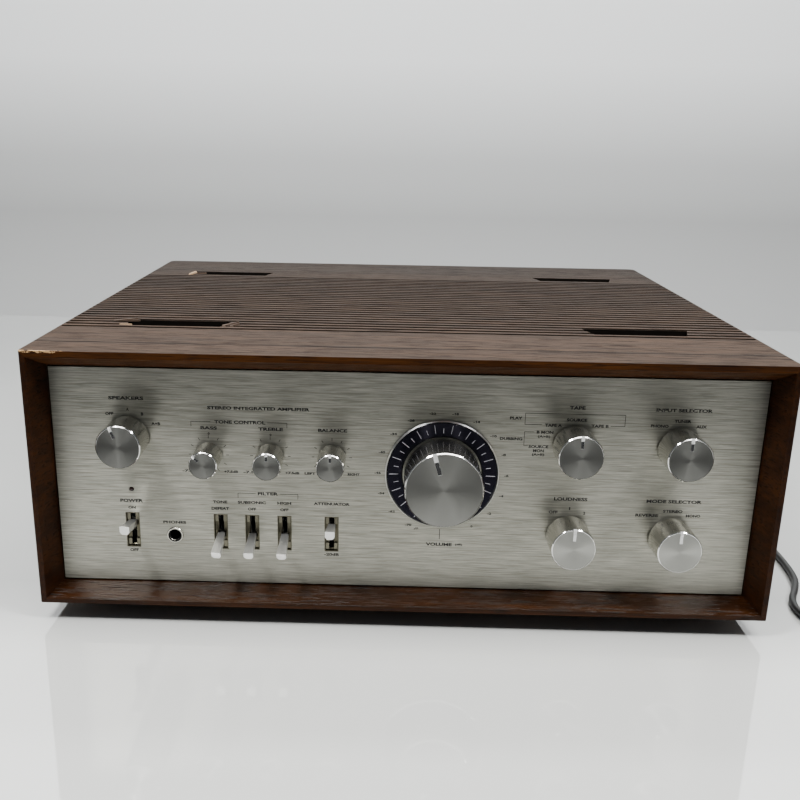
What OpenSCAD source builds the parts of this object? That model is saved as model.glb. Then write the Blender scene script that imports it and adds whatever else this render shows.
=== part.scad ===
// Integrated amplifier in a slatted wooden cabinet.
// Millimetres, +Z up, the control panel faces -Y, the cabinet stands on its feet at z = 0.

/* [Cabinet] */
// Outside width of the wooden cabinet
cabinet_w = 450; // [446:1:460]
// Height of the cabinet without its feet
cabinet_h = 161.5; // [158:0.5:168]
// Depth of the cabinet
cabinet_d = 380; // [372:1:390]
// Thickness of the side boards
side_t = 9; // [8:0.5:9]
// Thickness of the top boards
top_t = 12.8; // [11:0.1:14]
// Thickness of the bottom board
bottom_t = 7; // [6:0.5:9]
// Height of the feet
foot_h = 12; // [8:1:16]
// Diameter of the feet
foot_d = 36; // [24:1:40]
// Depth of the front rail of the top
front_rail_d = 25; // [20:1:40]
// Depth of the rear rail of the top
rear_rail_d = 59; // [40:1:70]
// Plain border of the slatted board in front of the grooves
groove_start = 44; // [36:1:50]
// Number of grooves across the top
groove_count = 28; // [10:1:28]
// Distance from groove to groove
groove_pitch = 8; // [7:0.1:8]
// Width of a groove
groove_w = 3.3; // [1.5:0.1:4]
// Depth of a groove
groove_depth = 5; // [2:0.5:7]
// Length of each vent slot along its longer edge
slot_l = 70; // [50:1:90]
// Width of each vent slot
slot_w = 17; // [10:1:18]

/* [Control panel] */
// Width of the aluminium panel
panel_w = 430; // [426:1:430]
// Thickness of the aluminium panel
panel_t = 4; // [3:0.5:5]
// Depth of the panel's face behind the cabinet's front edge
reveal = 18; // [14:1:20]
// Gap round the panel
panel_gap = 1; // [0.5:0.1:1.5]

/* [Knobs and levers] */
// Diameter of the volume knob
volume_d = 46.6; // [44:0.2:47]
// Length of the volume knob
volume_l = 26.2; // [20:0.2:28]
// Outside diameter of the volume dial
dial_d = 69.8; // [66:0.2:72]
// Diameter of the selector knobs
selector_d = 26.6; // [24:0.2:28]
// Length of the selector knobs
selector_l = 21.2; // [16:0.2:24]
// Diameter of the tone and balance knobs
tone_d = 17; // [14:0.2:19]
// Length of the tone and balance knobs
tone_l = 19.2; // [14:0.2:22]
// Swing of a lever to each side of level
lever_swing = 11; // [8:1:12]
// Length of a lever in front of the panel
lever_out = 20; // [14:1:22]

/* [Cord] */
// Diameter of the mains cord
cord_d = 4.5; // [4:0.1:5]
// Turns across the coil
coil_across = 4; // [3:1:4]
// Layers of turns in the coil
coil_layers = 3; // [2:1:3]

/* [Hidden] */
$fn = 64;
eps = 0.01;
fit = 0.05;
joint_gap = 0.3;

// Levels and faces
base_z = foot_h;
top_z = base_z + cabinet_h;
front_y = -cabinet_d / 2;
rear_y = cabinet_d / 2;
panel_y = front_y + reveal;
inner_bottom_z = base_z + bottom_t;
inner_top_z = top_z - top_t;
panel_z0 = inner_bottom_z + panel_gap;
panel_h = inner_top_z - panel_gap - panel_z0;
slat_y0 = front_y + front_rail_d;
slat_y1 = rear_y - rear_rail_d;

// Front edge left thin by the splayed bevels inside the cabinet's mouth
front_edge = 4;
front_edge_low = 3;
rear_corner_r = 5;
front_corner_r = 1.5;

// Vent slots through the slatted board
slot_x = 152;
slot_front_y = slat_y0 + groove_start + 15;
slot_rear_y = slat_y1 - 17;
slot_slant = 5;

// Steel chassis
sheet = 1.2;
chassis_w = 424;
chassis_z0 = inner_bottom_z + 5;
chassis_z1 = chassis_z0 + 126;
sub_y = panel_y + 12;
rear_panel_y = rear_y - 8 - sheet;
standoff_r = 4;
spacer_r = 8;
screw_r = 2;
screw_hole_r = 2.3;
case_screws = [for (x = [-150, 150], y = [-110, 130]) [x, y]];
foot_places = [for (x = [-185, 185], y = [-150, 150]) [x, y]];

// Where each control stands on the panel, as [x, z above the cabinet's underside]
volume_at = [23, 84.5];
speaker_at = [-169.2, 104.8];
tape_at = [102.3, 104.8];
input_at = [165.6, 104.8];
loudness_at = [102.3, 46.3];
mode_at = [165.6, 46.3];
bass_at = [-120, 93.9];
treble_at = [-82.2, 93.9];
balance_at = [-44.5, 93.9];
selector_places = [speaker_at, tape_at, input_at, loudness_at, mode_at];
tone_places = [bass_at, treble_at, balance_at];
lever_xs = [-169.4, -114, -94.2, -74, -44.5];
lever_z = base_z + 42.6;
lamp_at = [-169, 70];
jack_at = [-143, 39.6];

// Resting angle of each pointer, clockwise from straight up
volume_rest = -16;
speaker_rest = -20;
bass_rest = -46;

// Controls
knob_gap = 0.8;
knob_edge = 0.9;
shaft_r = 3;
shaft_hole_r = 4;
bushing_r = 4.6;
bushing_hole_r = 4.8;
slot_hole = [8.8, 23.6];
insert_wall = 0.7;
insert_depth = 5;
insert_pocket = 3.5;
slit = [3, 17];
lever_cap = [6, 5.4];
lever_stem = [2.4, 4];
lever_pivot_y = panel_y + 20;
lever_pin_r = 1.5;
lever_boss_r = 3.2;
lever_body = [13, 26, 30];
lever_cavity = [3.4, 24];
jack_r = 3.25;
jack_body_r = 4.5;
lamp_r = 1.5;

// Rear connections
socket_r = 4.15;
socket_l = 9;
socket_pitch = [18, 20];
socket_cols = 8;
sockets_at = [70, 92];
terminals_at = [-95, 60];
terminal_pitch = 17;
terminal_l = 17;
outlets_at = [40, 44];
outlet_pitch = 34;
outlet = [27, 24];
ground_at = [-12, 92];
cord_exit_at = [186, 28];
relief_l = 25;

// Mains cord: the route of its centre from the strain relief to the coil
cord_r = cord_d / 2;
cord_z = 2.4;
exit_y = rear_panel_y + sheet + relief_l;
lead_route = [
    [cord_exit_at[0], exit_y, base_z + cord_exit_at[1]], [186, 216, 39], [187, 229, 35],
    [190, 241, 26], [196, 249, 15], [206, 253, 6.5], [219, 252, cord_z],
    [234, 246, cord_z], [248, 234, cord_z], [258, 216, cord_z], [264, 190, cord_z],
    [268, 160, cord_z], [271, 125, cord_z],
    [274, 85, cord_z], [276, 45, cord_z], [278, 5, cord_z], [279, -35, cord_z],
    [279, -72, cord_z], [278, -97, cord_z], [275, -116, cord_z], [269, -130, cord_z],
    [262, -143, cord_z], [259, -157, cord_z], [262, -173, cord_z], [272, -185, cord_z],
    [286, -190, cord_z], [300, -190, cord_z], [315, -190, cord_z]
];
coil_mean_r = 26;
coil_outer_turn_r = coil_mean_r + (coil_across - 1) * cord_d / 2;
coil_centre = [315, -190 + coil_outer_turn_r];
plug_x = coil_centre[0] + coil_outer_turn_r;
plug_y = -118;
tail_route = [
    [plug_x, coil_centre[1], cord_z + 2 * cord_d], [plug_x, -148, 10], [plug_x, -138, 8],
    [plug_x, -128, 7], [plug_x, plug_y, 7]
];
cord_sides = 10;
plug_body = [24, 30, 14];
blade = [1.5, 16, 6.4];
blade_gap = 12.7;

// Shared shapes

// Extrudes an outline drawn in x and z from y0 to y1
module along_y(y0, y1) {
    translate([0, y1, 0]) rotate([90, 0, 0]) linear_extrude(y1 - y0) children();
}

// Puts what is drawn with z outwards in front of the panel at a control's place
module at_panel(place, y = panel_y) {
    translate([place[0], y, base_z + place[1]]) rotate([90, 0, 0]) children();
}

// Puts what is drawn with z outwards behind the rear panel
module at_rear(place) {
    translate([place[0], rear_panel_y + sheet, base_z + place[1]]) rotate([-90, 0, 0]) children();
}

// A box from two corners
module box(low, high) {
    translate(low) cube(high - low);
}

// Cabinet

// Plan of the cabinet with its rounded upright corners
module cabinet_plan() {
    translate([-cabinet_w / 2 + rear_corner_r, front_y])
        square([cabinet_w - 2 * rear_corner_r, cabinet_d]);
    translate([-cabinet_w / 2, front_y + front_corner_r])
        square([cabinet_w, cabinet_d - rear_corner_r - front_corner_r]);
    for (s = [-1, 1]) {
        translate([s * (cabinet_w / 2 - rear_corner_r), rear_y - rear_corner_r]) circle(rear_corner_r);
        translate([s * (cabinet_w / 2 - front_corner_r), front_y + front_corner_r])
            circle(front_corner_r);
        translate([s > 0 ? cabinet_w / 2 - 2 * rear_corner_r : -cabinet_w / 2 + front_corner_r, front_y])
            square([2 * rear_corner_r - front_corner_r, rear_corner_r]);
    }
}

// A board of the cabinet: its mitred end outline, run from y0 to y1
module board(outline, y0, y1) {
    intersection() {
        along_y(y0, y1) polygon(outline);
        translate([0, 0, base_z]) linear_extrude(cabinet_h) cabinet_plan();
    }
}

// Extrudes an outline drawn in y and z across the cabinet's width
module across_x() {
    rotate([90, 0, 90]) linear_extrude(cabinet_w, center = true) children();
}

// Corners of the cabinet's frame, from the outside in: edge, end of the bevel's front, opening
half_w = cabinet_w / 2;
mitre_top = [
    [half_w, top_z], [half_w - front_edge, top_z - front_edge], [half_w - side_t, inner_top_z]
];
mitre_low = [
    [half_w, base_z], [half_w - front_edge, base_z + front_edge_low],
    [half_w - side_t, inner_bottom_z]
];
function mirrored(points) = [for (i = [len(points) - 1 : -1 : 0]) [-points[i][0], points[i][1]]];
top_outline = concat(mirrored(mitre_top), mitre_top);
bottom_outline = concat(mirrored(mitre_low), mitre_low);
side_outline = concat(mitre_low, [for (i = [2 : -1 : 0]) mitre_top[i]]);

module top_front_rail() {
    color("sienna") intersection() {
        board(top_outline, front_y, slat_y0);
        across_x() polygon([
            [front_y, top_z], [front_y, top_z - front_edge], [panel_y, inner_top_z],
            [slat_y0, inner_top_z], [slat_y0, top_z]
        ]);
    }
}

// Outline of one vent slot, its ends slanting outwards to the rear
module slot_outline() {
    polygon([
        [-slot_l / 2 + slot_slant, -slot_w / 2], [slot_l / 2 - slot_slant, -slot_w / 2],
        [slot_l / 2, slot_w / 2], [-slot_l / 2, slot_w / 2]
    ]);
}

module slatted_top() {
    color("saddlebrown") difference() {
        board(top_outline, slat_y0 + joint_gap, slat_y1);
        for (i = [0 : groove_count - 1])
            translate([-cabinet_w, slat_y0 + groove_start + i * groove_pitch, top_z - groove_depth])
                cube([2 * cabinet_w, groove_w, groove_depth + 1]);
        for (x = [-slot_x, slot_x], y = [slot_front_y, slot_rear_y])
            translate([x, y, inner_top_z - 1]) linear_extrude(top_t + 2) slot_outline();
    }
}

module top_rear_rail() {
    color("sienna") board(top_outline, slat_y1 + joint_gap, rear_y);
}

// Right-hand side board, splayed to the front
module side_board() {
    intersection() {
        board(side_outline, front_y, rear_y);
        translate([0, 0, base_z]) linear_extrude(cabinet_h) polygon([
            [half_w, front_y], [half_w - front_edge, front_y], [half_w - side_t, panel_y],
            [half_w - side_t, rear_y], [half_w, rear_y]
        ]);
    }
}

module right_side() {
    color("saddlebrown") side_board();
}

module left_side() {
    color("saddlebrown") mirror([1, 0, 0]) side_board();
}

module bottom_board() {
    color("sienna") difference() {
        intersection() {
            board(bottom_outline, front_y, rear_y);
            across_x() polygon([
                [front_y, base_z], [front_y, base_z + front_edge_low], [panel_y, inner_bottom_z],
                [rear_y, inner_bottom_z], [rear_y, base_z]
            ]);
        }
        for (p = case_screws)
            translate([p[0], p[1], base_z - 1]) cylinder(h = bottom_t + 2, r = screw_hole_r);
        for (p = foot_places)
            translate([p[0], p[1], base_z - 1]) cylinder(h = bottom_t - 1, r = screw_r);
    }
}

// Round feet with a recess for the screw
module cabinet_feet() {
    recess_r = 6;
    recess_h = foot_h - 4;
    color("dimgray") for (p = foot_places) translate([p[0], p[1], 0]) difference() {
        union() {
            cylinder(h = 1.5, r1 = foot_d / 2 - 1.5, r2 = foot_d / 2);
            translate([0, 0, 1.5]) cylinder(h = foot_h - 1.5, r = foot_d / 2);
        }
        translate([0, 0, -1]) cylinder(h = recess_h + 1, r = recess_r);
        cylinder(h = foot_h + 1, r = screw_hole_r);
    }
}

module chassis_spacers() {
    color("tan") for (p = case_screws) translate([p[0], p[1], inner_bottom_z]) difference() {
        cylinder(h = chassis_z0 - inner_bottom_z, r = spacer_r);
        translate([0, 0, -1]) cylinder(h = chassis_z0, r = screw_hole_r);
    }
}

// Four screws hold the chassis through the bottom board, four hold the feet
module cabinet_screws() {
    head_r = 4;
    head_h = 2.5;
    color("silver") {
        for (p = case_screws) translate([p[0], p[1], base_z - head_h]) {
            cylinder(h = head_h, r = head_r);
            cylinder(h = chassis_z0 - base_z + head_h + 6, r = screw_r);
        }
        for (p = foot_places) translate([p[0], p[1], foot_h - 4 - head_h]) {
            cylinder(h = head_h, r = head_r);
            cylinder(h = 4 + head_h + bottom_t - 2.5, r = screw_r - fit);
        }
    }
}

// Panels and chassis

module front_panel() {
    color("silver") difference() {
        box([-panel_w / 2, panel_y, panel_z0], [panel_w / 2, panel_y + panel_t, panel_z0 + panel_h]);
        for (p = concat(selector_places, tone_places, [volume_at]))
            at_panel(p, panel_y + panel_t + 1) cylinder(h = panel_t + 2, r = shaft_hole_r);
        for (x = lever_xs)
            translate([x - slot_hole[0] / 2, panel_y - 1, lever_z - slot_hole[1] / 2])
                cube([slot_hole[0], panel_t + 2, slot_hole[1]]);
        at_panel(jack_at, panel_y + panel_t + 1) cylinder(h = panel_t + 2, r = jack_body_r + fit);
        at_panel(lamp_at, panel_y + panel_t + 1) cylinder(h = panel_t + 2, r = lamp_r + fit);
    }
}

// Steel plate that carries the controls, with posts that hold the front panel
module sub_panel() {
    lever_hole = [lever_stem[0] + 2, 14];
    color("gray") difference() {
        union() {
            box([-chassis_w / 2, sub_y, chassis_z0], [chassis_w / 2, sub_y + sheet, chassis_z1]);
            for (x = [-200, -25, 200], z = [16, 128])
                at_panel([x, z], sub_y + eps) cylinder(h = sub_y - panel_y - panel_t + eps, r = standoff_r);
        }
        for (p = concat(selector_places, tone_places, [volume_at]))
            at_panel(p, sub_y + sheet + 1) cylinder(h = sheet + 2, r = bushing_hole_r);
        for (x = lever_xs)
            translate([x - lever_hole[0] / 2, sub_y - 1, lever_z - lever_hole[1] / 2])
                cube([lever_hole[0], sheet + 2, lever_hole[1]]);
        at_panel(jack_at, sub_y + sheet + 1) cylinder(h = sheet + 2, r = jack_body_r + 1);
        at_panel(lamp_at, sub_y + sheet + 1) cylinder(h = sheet + 2, r = lamp_r + 1);
    }
}

// Tray of bottom and sides
module chassis_pan() {
    y0 = sub_y + sheet + joint_gap;
    y1 = rear_panel_y - joint_gap;
    color("darkgray") difference() {
        union() {
            box([-chassis_w / 2, y0, chassis_z0], [chassis_w / 2, y1, chassis_z0 + sheet]);
            for (s = [-1, 1])
                translate([s > 0 ? chassis_w / 2 - sheet : -chassis_w / 2, y0, chassis_z0])
                    cube([sheet, y1 - y0, chassis_z1 - chassis_z0 - joint_gap]);
        }
        for (p = case_screws)
            translate([p[0], p[1], chassis_z0 - 1]) cylinder(h = sheet + 2, r = screw_hole_r);
        for (x = [-160 : 40 : 160], y = [-70 : 20 : 90])
            translate([x - 12, y, chassis_z0 - 1]) cube([24, 4, sheet + 2]);
    }
}

module rear_panel() {
    color("dimgray") difference() {
        box([-chassis_w / 2, rear_panel_y, chassis_z0],
            [chassis_w / 2, rear_panel_y + sheet, chassis_z1]);
        at_rear(cord_exit_at) translate([0, 0, -sheet - 1]) cylinder(h = sheet + 2, r = 5 + fit);
        at_rear(ground_at) translate([0, 0, -sheet - 1]) cylinder(h = sheet + 2, r = screw_r + fit);
    }
}

// Steel lid of the chassis with rows of vents
module vent_cover() {
    vent = [52, 4];
    color("dimgray") difference() {
        box([-chassis_w / 2, sub_y, chassis_z1 + joint_gap],
            [chassis_w / 2, rear_panel_y + sheet, chassis_z1 + joint_gap + sheet]);
        for (x = [-150 : 60 : 150], y = [-110 : 14 : 140])
            translate([x - vent[0] / 2, y, chassis_z1]) cube([vent[0], vent[1], 3 * sheet]);
    }
}

// Power supply and amplifier stages

floor_z = chassis_z0 + sheet;

// Laminated transformer with its winding and two end bells
module transformer() {
    core = [80, 46, 68];
    bell = [58, 20, 48];
    foot = [96, 30, 3];
    translate([-foot[0] / 2, -foot[1] / 2, 0]) cube(foot);
    translate([-core[0] / 2, -core[1] / 2, 0]) cube(core);
    for (s = [-1, 1])
        translate([-bell[0] / 2, s * (core[1] + bell[1]) / 2 - bell[1] / 2, (core[2] - bell[2]) / 2])
            cube(bell);
}

module left_transformer() {
    color("#3a3a3a") translate([-150, -65, floor_z]) transformer();
}

module right_transformer() {
    color("#3a3a3a") translate([-150, 35, floor_z]) transformer();
}

module filter_capacitors() {
    can_r = 17;
    can_h = 78;
    color("navy") for (x = [-75, -37], y = [-90, -50]) translate([x, y, floor_z]) {
        cylinder(h = can_h - 2, r = can_r);
        translate([0, 0, can_h - 2]) cylinder(h = 2, r1 = can_r, r2 = can_r - 2);
        for (s = [-1, 1]) translate([s * 6, 0, can_h - eps]) cylinder(h = 4, r = 2.5);
    }
}

heat_sink_y = 70;

// Upright plate with fins to the rear
module heat_sink() {
    plate = [180, 6, 96];
    fin = [2, 60];
    fins = 19;
    pitch = (plate[0] - fin[0]) / (fins - 1);
    color("#2f2f2f") translate([-60, heat_sink_y, floor_z + 8]) {
        cube(plate);
        for (i = [0 : fins - 1]) translate([i * pitch, plate[1] - eps, 0])
            cube([fin[0], fin[1], plate[2]]);
        for (x = [0, plate[0] - 12]) translate([x, 0, -8]) cube([12, plate[1], 8 + eps]);
    }
}

module output_transistors() {
    color("silver") for (x = [-40, 5, 55, 100])
        translate([x, heat_sink_y, floor_z + 66]) rotate([90, 0, 0]) {
            translate([-13, -19, 0]) cube([26, 38, 1.6]);
            cylinder(h = 8, r = 10.5);
        }
}

// A circuit board on four posts with its parts: tall is a list of [x, y, radius, height]
module circuit_board(size, post_h, tall) {
    thick = 1.6;
    post_r = 3;
    cube([size[0], size[1], thick]);
    for (x = [6, size[0] - 6], y = [6, size[1] - 6]) translate([x, y, -post_h])
        cylinder(h = post_h + eps, r = post_r, $fn = 24);
    for (c = tall) translate([c[0], c[1], thick - eps]) cylinder(h = c[3], r = c[2], $fn = 32);
    for (x = [10 : 14 : size[0] - 10], y = [8 : 18 : size[1] - 8])
        translate([x - 3.5, y - 1.2, thick - eps]) cube([7, 2.4, 2.5]);
}

module power_amp_board() {
    parts = [for (x = [18 : 36 : 162], y = [17, 53]) [x, y, 5, 14]];
    post_h = 12;
    color("peru") translate([-60, -14, floor_z + post_h]) circuit_board([180, 70], post_h, parts);
}

module phono_board() {
    parts = [for (x = [17, 45, 59], y = [17, 53]) [x, y, 4, 11]];
    post_h = 30;
    color("peru") translate([132, 70, floor_z + post_h]) circuit_board([74, 90], post_h, parts);
}

// Controls behind the panel

// A threaded bushing through the plate, bored for its shaft, in front of a body drawn with z to the rear
module control(place, depth) {
    bushing_l = 6;
    translate([place[0], sub_y + sheet, base_z + place[1]]) rotate([-90, 0, 0]) difference() {
        union() {
            translate([0, 0, -sheet - bushing_l]) cylinder(h = sheet + bushing_l + 1, r = bushing_r);
            children();
        }
        translate([0, 0, -sheet - bushing_l - 1])
            cylinder(h = sheet + bushing_l + 1 + depth, r = shaft_r + fit);
    }
}

shaft_depth = 8;

module volume_potentiometer() {
    gang = [34, 34, 7];
    color("#6b6b6b") control(volume_at, shaft_depth) {
        for (i = [0 : 3]) translate([-gang[0] / 2, -gang[1] / 2, i * (gang[2] + 2)]) cube(gang);
        cylinder(h = 4 * (gang[2] + 2) - 2, r = 12);
    }
}

module tone_potentiometers() {
    can_r = 10;
    color("#6b6b6b") for (p = tone_places) control(p, shaft_depth) {
        cylinder(h = 9.5, r = can_r);
        cylinder(h = 22, r = can_r - 2);
        translate([0, 0, 12]) cylinder(h = 10, r = can_r);
    }
}

// Rotary wafer switches
module selector_switches() {
    wafer_r = 16;
    color("#8a7a55") for (p = selector_places) control(p, shaft_depth) {
        cylinder(h = 9.5, r = 9);
        cylinder(h = 34, r = 4.5);
        for (z = [14, 24]) translate([0, 0, z]) cylinder(h = 2, r = wafer_r);
        for (s = [-1, 1]) translate([s * 12, 0, 1]) cylinder(h = 33, r = 1.6);
        translate([-14, -5, 0]) cube([28, 10, 2]);
    }
}

// Body of each lever switch: two cheeks that carry the lever's pivot pin
module lever_switches() {
    y0 = sub_y + sheet;
    color("#4a4a4a") for (x = lever_xs) difference() {
        translate([x - lever_body[0] / 2, y0, lever_z - lever_body[1] / 2])
            cube([lever_body[0], lever_body[2], lever_body[1]]);
        translate([x - lever_cavity[0] / 2, y0 - 1, lever_z - lever_cavity[1] / 2])
            cube([lever_cavity[0], 17, lever_cavity[1]]);
        translate([x - lever_body[0], lever_pivot_y, lever_z]) rotate([0, 90, 0])
            cylinder(h = 2 * lever_body[0], r = lever_pin_r + fit);
    }
}

// Trim set into each slot: a shallow pocket with a slit for the lever's stem
module lever_slot_inserts() {
    outer = slot_hole - [0.2, 0.2];
    pocket = outer - 2 * [insert_wall, insert_wall];
    color("#5b5640") for (x = lever_xs) translate([x, panel_y, lever_z]) difference() {
        translate([-outer[0] / 2, 0.2, -outer[1] / 2]) cube([outer[0], insert_depth, outer[1]]);
        translate([-pocket[0] / 2, -1, -pocket[1] / 2])
            cube([pocket[0], 1 + insert_pocket, pocket[1]]);
        translate([-slit[0] / 2, 0, -slit[1] / 2]) cube([slit[0], 2 * insert_depth, slit[1]]);
    }
}

module headphone_jack() {
    flange_r = 5.3;
    flange_t = 1;
    depth = 24;
    color("#888888") at_panel(jack_at) difference() {
        union() {
            cylinder(h = flange_t, r = flange_r);
            translate([0, 0, -depth + 8]) cylinder(h = depth - 8, r = jack_body_r);
            translate([-7, -9, -depth - 6]) cube([14, 18, 14]);
        }
        translate([0, 0, -depth]) cylinder(h = depth + flange_t + 1, r = jack_r);
    }
}

module power_lamp() {
    color("darkred") at_panel(lamp_at, panel_y + 10) {
        cylinder(h = 9.2, r = lamp_r);
        cylinder(h = 5, r = lamp_r + 0.7);
    }
}

// Raised ring round the volume knob: bright rim outside, dished black scale inside
module volume_dial() {
    r = dial_d / 2;
    inner = volume_d / 2 + 0.8;
    color("#15151c") at_panel(volume_at) rotate_extrude($fn = 96)
        polygon([[inner, 0], [r, 0], [r, 1.4], [r - 1.4, 2.6], [r - 2, 2.6], [r - 2.4, 1.6], [inner, 1]]);
}

// Rear connections

module input_sockets() {
    cols = socket_cols - 1;
    plate = [socket_pitch[0] * cols + 18, socket_pitch[1] + 18];
    color("gainsboro") at_rear(sockets_at) difference() {
        union() {
            translate([-9, -9, 0]) cube([plate[0], plate[1], 1.5]);
            for (i = [0 : cols], j = [0, 1])
                translate([i * socket_pitch[0], j * socket_pitch[1], 1.5 - eps])
                    cylinder(h = socket_l, r = socket_r);
        }
        for (i = [0 : cols], j = [0, 1])
            translate([i * socket_pitch[0], j * socket_pitch[1], 2.5]) cylinder(h = socket_l, r = 1.6);
    }
}

module ground_post() {
    color("gold") at_rear(ground_at) {
        translate([0, 0, -6]) cylinder(h = 18, r = screw_r);
        cylinder(h = 2, r = 4.5);
        translate([0, 0, 4]) cylinder(h = 6, r = 5);
    }
}

// Screw-down terminals for two pairs of loudspeakers
module speaker_terminals() {
    cols = 3;
    color("#262626") at_rear(terminals_at) {
        translate([-12, -12, 0]) cube([terminal_pitch * cols + 24, terminal_pitch + 24, 3]);
        for (i = [0 : cols], j = [0, 1])
            translate([i * terminal_pitch, j * terminal_pitch, 3 - eps]) {
                cylinder(h = terminal_l - 3, r = 2.5);
                translate([0, 0, 4]) cylinder(h = terminal_l - 7, r = 6);
            }
    }
}

// Three two-blade outlets
module ac_outlets() {
    slot = [2.2, 8];
    color("#202020") at_rear(outlets_at) difference() {
        for (i = [0 : 2]) translate([i * outlet_pitch - outlet[0] / 2, -outlet[1] / 2, 0])
            cube([outlet[0], outlet[1], 4]);
        for (i = [0 : 2], s = [-1, 1])
            translate([i * outlet_pitch + s * blade_gap / 2 - slot[0] / 2, -slot[1] / 2, 1])
                cube([slot[0], slot[1], 4]);
    }
}

// Knobs and shafts

// Turned knob with a chamfered rim, hollow back, shaft bore and a pointer groove across its edge
module knob(place, d, length, turn) {
    r = d / 2;
    groove_l = r * 0.62;
    groove_t = r * 0.09 + 0.7;
    hub_r = shaft_r + 2.4;
    wall = 1.6;
    at_panel(place, panel_y - knob_gap) rotate([0, 0, -turn]) difference() {
        union() {
            cylinder(h = length - knob_edge, r = r, $fn = 96);
            translate([0, 0, length - knob_edge])
                cylinder(h = knob_edge, r1 = r, r2 = r - knob_edge, $fn = 96);
        }
        translate([0, 0, -1]) difference() {
            cylinder(h = length * 0.6, r = r - wall);
            cylinder(h = length * 0.6, r = hub_r);
        }
        translate([0, 0, -1]) cylinder(h = length * 0.75 + 1, r = shaft_r + fit / 2);
        translate([-groove_t / 2, r - groove_l, length - 0.6]) cube([groove_t, groove_l + 1, 1]);
    }
}

// Shaft from inside the knob to inside the control's bore
module shaft(place, length) {
    reach = knob_gap + length * 0.72;
    back = sub_y + sheet - panel_y + shaft_depth - 1.5;
    translate([place[0], panel_y - reach, base_z + place[1]]) rotate([-90, 0, 0])
        cylinder(h = reach + back, r = shaft_r - fit / 2);
}

module tone_knob(place, turn) {
    color("silver") knob(place, tone_d, tone_l, turn);
}

module selector_knob(place, turn) {
    color("silver") knob(place, selector_d, selector_l, turn);
}

module tone_shaft(place) {
    color("gray") shaft(place, tone_l);
}

module selector_shaft(place) {
    color("gray") shaft(place, selector_l);
}

module volume_knob() {
    color("silver") knob(volume_at, volume_d, volume_l, volume_rest);
}

module volume_shaft() {
    color("gray") shaft(volume_at, volume_l);
}

// Levers

// Lever on its pivot pin: thin stem inside, broad cap outside; side is 1 for up, -1 for down
module lever(x, side) {
    back_l = lever_pivot_y - panel_y;
    cap_back = back_l - 2;
    color("gainsboro") translate([x, lever_pivot_y, lever_z]) rotate([-side * lever_swing, 0, 0]) {
        translate([-lever_cap[0] / 2, -back_l - lever_out, -lever_cap[1] / 2])
            cube([lever_cap[0], lever_out + back_l - cap_back, lever_cap[1]]);
        translate([-lever_stem[0] / 2, -cap_back - eps, -lever_stem[1] / 2])
            cube([lever_stem[0], cap_back + eps, lever_stem[1]]);
        translate([-lever_stem[0] / 2, 0, 0]) rotate([0, 90, 0])
            cylinder(h = lever_stem[0], r = lever_boss_r);
        translate([-lever_body[0] / 2 - 1, 0, 0]) rotate([0, 90, 0])
            cylinder(h = lever_body[0] + 2, r = lever_pin_r);
    }
}

// Mains cord

// Points of a smooth curve through a route, a few to each stretch
function curve_point(p0, p1, p2, p3, t) =
    p1 + (p2 - p0) * t / 2 + (2 * p0 - 5 * p1 + 4 * p2 - p3) * t * t / 2
    + (3 * p1 - p0 - 3 * p2 + p3) * t * t * t / 2;
function smooth(route, steps) = concat(
    [for (i = [0 : len(route) - 2], k = [0 : steps - 1])
        curve_point(route[max(i - 1, 0)], route[i], route[i + 1],
                    route[min(i + 2, len(route) - 1)], k / steps)],
    [route[len(route) - 1]]
);
function unit(v) = v / norm(v);
function heading(path, i) = unit(path[min(i + 1, len(path) - 1)] - path[max(i - 1, 0)]);

// Rings of points round the path, carried by a level sideways direction
function ring(path, i, r) =
    let (f = heading(path, i), side = unit(cross(f, [0, 0, 1])), up = cross(side, f))
    [for (k = [0 : cord_sides - 1])
        path[i] + r * (cos(360 * k / cord_sides) * side + sin(360 * k / cord_sides) * up)];

module tube(path, r) {
    n = len(path);
    m = cord_sides;
    points = [for (i = [0 : n - 1]) each ring(path, i, r)];
    walls = [for (i = [0 : n - 2], k = [0 : m - 1])
        [i * m + k, i * m + (k + 1) % m, (i + 1) * m + (k + 1) % m, (i + 1) * m + k]];
    first = [for (k = [m - 1 : -1 : 0]) k];
    last = [for (k = [0 : m - 1]) (n - 1) * m + k];
    polyhedron(points = points, faces = concat(walls, [first, last]), convexity = 10);
}

module power_cord() {
    color("#151515") {
        tube(smooth(lead_route, 2), cord_r);
        tube(smooth(tail_route, 2), cord_r);
    }
}

module cord_coil() {
    half = coil_across * cord_d / 2;
    color("#151515") translate([coil_centre[0], coil_centre[1], cord_z - cord_r])
        rotate_extrude() translate([coil_mean_r - half, 0])
            square([2 * half, coil_layers * cord_d]);
}

// Tapered strain relief in the rear panel
module strain_relief() {
    inside = 4;
    color("#151515") at_rear(cord_exit_at) {
        translate([0, 0, -sheet - inside]) cylinder(h = sheet + inside + 1, r = 5);
        cylinder(h = 4, r = 7.5);
        translate([0, 0, 4 - eps]) cylinder(h = relief_l - 4 + eps, r1 = 5.2, r2 = 3.1);
    }
}

// Two-blade plug lying on its broad side
module power_plug() {
    z = 7;
    color("#151515") translate([plug_x, plug_y, z]) {
        translate([-plug_body[0] / 2, 10, -z + 0.1]) cube(plug_body - [0, 8, 0.2]);
        rotate([-90, 0, 0]) cylinder(h = 12, r1 = 3.2, r2 = 6.5);
        for (s = [-1, 1])
            translate([s * blade_gap / 2 - blade[0] / 2, plug_body[1] + 2 - eps, -blade[2] / 2])
                cube(blade);
    }
}

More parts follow.
